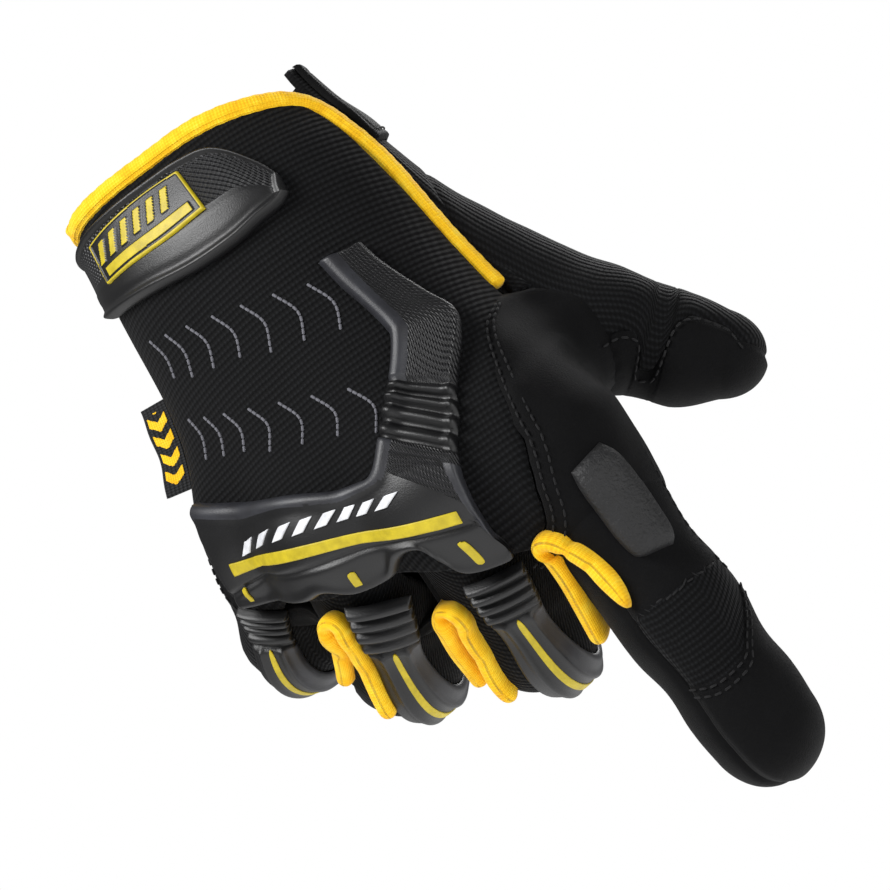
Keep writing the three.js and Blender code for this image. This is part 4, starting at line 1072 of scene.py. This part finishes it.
def stitch_row(name, centres, normals, material, pitch=2.5, length=1.7, thickness=0.5):
    """Row of thread stitches: small rounded bars, 30 faces each, laid end to end along a line."""
    steps = np.r_[0, np.cumsum(np.linalg.norm(np.diff(centres, axis=0), axis=1))]
    at = np.arange(pitch / 2, steps[-1], pitch)
    place = np.stack([np.interp(at, steps, centres[:, k]) for k in range(3)], -1)
    ahead = np.stack([np.interp(at + 0.3, steps, centres[:, k]) for k in range(3)], -1)
    up = unit(np.stack([np.interp(at, steps, normals[:, k]) for k in range(3)], -1))
    along = unit(ahead - place)
    along[-1] = along[-2]
    side = np.cross(along, up)
    turn = np.linspace(0, 2 * np.pi, 6, endpoint=False)
    ring_place = np.array([-0.5, -0.36, 0.36, 0.5]) * length
    ring_width = np.array([0.35, 1, 1, 0.35]) * thickness / 2
    local = np.stack([np.repeat(ring_place, 6), (ring_width[:, None] * np.cos(turn)).ravel(),
                      (ring_width[:, None] * np.sin(turn)).ravel()], -1)
    frames = np.stack([along, side, up], 1)
    points = (place[:, None] + local @ frames).reshape(-1, 3)
    ring = np.arange(6)
    quads = [[i * 6 + a, i * 6 + (a + 1) % 6, (i + 1) * 6 + (a + 1) % 6, (i + 1) * 6 + a]
             for i in range(3) for a in ring]
    caps = [[0, 5, 4, 3], [0, 3, 2, 1], [18, 19, 20, 21], [18, 21, 22, 23]]
    one = np.array(quads + caps)
    faces = (one[None] + 24 * np.arange(len(place))[:, None, None]).reshape(-1, 4)
    return link_mesh(name, points, faces, np.zeros((len(points), 2)), [material])


def sewn_line(name, limb, table, lift, material, reach=REACH, **sizes):
    """Stitches along a line on the surface that a table of angles and stations gives."""
    rows, place = smooth_rows(table, 24)
    skin = Skin(limb, rows[:, [0]] + np.array([[-0.8, 0, 0.8]]), rows[:, [1]] + np.zeros((1, 3)), reach)
    normals = skin.normals[:, 1]
    return stitch_row(name, skin.points[:, 1] + normals * lift, normals, material, **sizes)


def seams():
    """Rows of stitching beside the seams and along the edges of laid pieces."""
    rim = list(zip(*CAP_RIM))
    rows = [
        ("stitches_yoke_a", "hand", [[s[1] + 2.2, s[0]] for s in BACK_SEAM[7:]], 0.4),
        ("stitches_yoke_b", "hand", [[s[1] + 5.0, s[0]] for s in BACK_SEAM[7:]], 0.45),
        ("stitches_cap_a", "index", [[a, s + 0.02] for a, s in rim], 0.55),
        ("stitches_cap_b", "index", [[a, s + 0.045] for a, s in rim], 0.6),
        ("stitches_window", "index", [[-20, 0.53], [20, 0.53], [60, 0.53], [94, 0.53]], 0.35),
        ("stitches_index_side", "index", [[92, 0.1], [92, 0.5], [92, 0.58]], 0.35),
        ("stitches_palm_side", "hand", [[133, 0.05], [133, 0.3], [133, 0.62]], 0.1),
        ("stitches_palm_ulnar", "hand", [[268, 0.05], [268, 0.5], [268, 1.0], [268, 1.4]], 0.1),
        ("stitches_flap", "hand", [[94, 0.226], [134, 0.188], [174, 0.149], [210, 0.114]], BASE + 1.75),
        ("stitches_anchor", "hand", [[-136, 0.07], [-136, 0.15], [-136, 0.22]], BASE + 1.75),
        ("stitches_thumb_side", "thumb", [[136, 0.3], [136, 0.8], [136, 1.2]], 0.6),
        ("stitches_thumb_lobe", "thumb", [[a - 7, s] for s, a in zip(*THUMB_LOBES) if 0.7 < s < 1.3], 0.6),
    ]
    for name, limb, table, lift in rows:
        sewn_line(name, limb, table, lift, THREAD)


def embroidery():
    """Two rows of plain chevrons in grey thread on the knit back."""
    for row, (first, last, station_first, station_last, tall) in enumerate(
            ((-38, 22, 0.4, 0.5, 0.13), (-44, 14, 0.63, 0.76, 0.12))):
        for i in range(7):
            share = i / 6
            angle = first + (last - first) * share
            station = station_first + (station_last - station_first) * share
            table = [[angle - 0.5, station], [angle + 2.6, station + tall / 2], [angle - 0.5, station + tall]]
            sewn_line("chevron_%d_%d" % (row + 1, i + 1), "hand", table, 0.12, GREY_THREAD,
                              pitch=1.5, length=1.4, thickness=0.7)


strap_piece()
badge_piece()
anchor_piece()
flap_piece()
tag_piece()
guard_piece, guard_footprint = knuckle_guard()
guard_prints()
finger_guards(guard_footprint)
index_pad()
binding_piece()
gusset_pieces()
seams()
embroidery()


# --- studio ---------------------------------------------------------------------------------
def make_studio():
    """Plain pale floor and walls of light: a large key from the upper left, a fill from the right
    and a rim from behind."""
    mesh = bpy.data.meshes.new("studio_floor")
    mesh.from_pydata([(-3, -3, -0.42), (3, -3, -0.42), (3, 3, -0.42), (-3, 3, -0.42)], [], [(0, 1, 2, 3)])
    material, tree, shader = new_material("pale_paper", 0.9, Emission_Strength=0.5)
    shader.inputs["Emission Color"].default_value = (1, 1, 1, 1)
    vector = add_node(tree, "ShaderNodeTexCoord").outputs["Object"]
    paint(tree, shader, grain(tree, vector, 40.0), [(0.3, "#d4d4d4"), (0.7, "#dadada")])
    mesh.materials.append(material)
    floor = bpy.data.objects.new("studio_floor", mesh)
    bpy.context.collection.objects.link(floor)
    world = bpy.data.worlds.new("studio_world")
    world.use_nodes = True
    tree = world.node_tree
    seen = add_node(tree, "ShaderNodeLightPath").outputs["Is Camera Ray"]
    glow = add_node(tree, "ShaderNodeMath", [(0, seen)], operation="MULTIPLY_ADD", in_1=0.83, in_2=0.17)
    tree.nodes["Background"].inputs["Color"].default_value = (1, 1, 1, 1)
    tree.links.new(glow.outputs[0], tree.nodes["Background"].inputs["Strength"])
    bpy.context.scene.world = world
    bpy.context.scene.view_settings.view_transform = "Standard"
    for name, offset, size, power in (("key", (-0.5, -0.9, 0.9), 0.6, 21.0),
                                      ("fill", (1.0, -0.7, -0.2), 0.7, 6.5),
                                      ("rim", (0.3, 0.9, 0.7), 0.6, 10.0)):
        data = bpy.data.lights.new(name, "AREA")
        data.size, data.energy = size, power
        lamp = bpy.data.objects.new(name, data)
        bpy.context.collection.objects.link(lamp)
        place = np.array(offset) + [0.01, 0, -0.1]
        aim = unit(np.array([0.01, 0, -0.1]) - place)
        side = unit(np.cross(aim, [0, 0, 1.0]))
        turn = np.column_stack([side, np.cross(side, aim), -aim])
        lamp.matrix_world = Matrix.Translation(place.tolist()) @ Matrix(turn.tolist()).to_4x4()


make_studio()
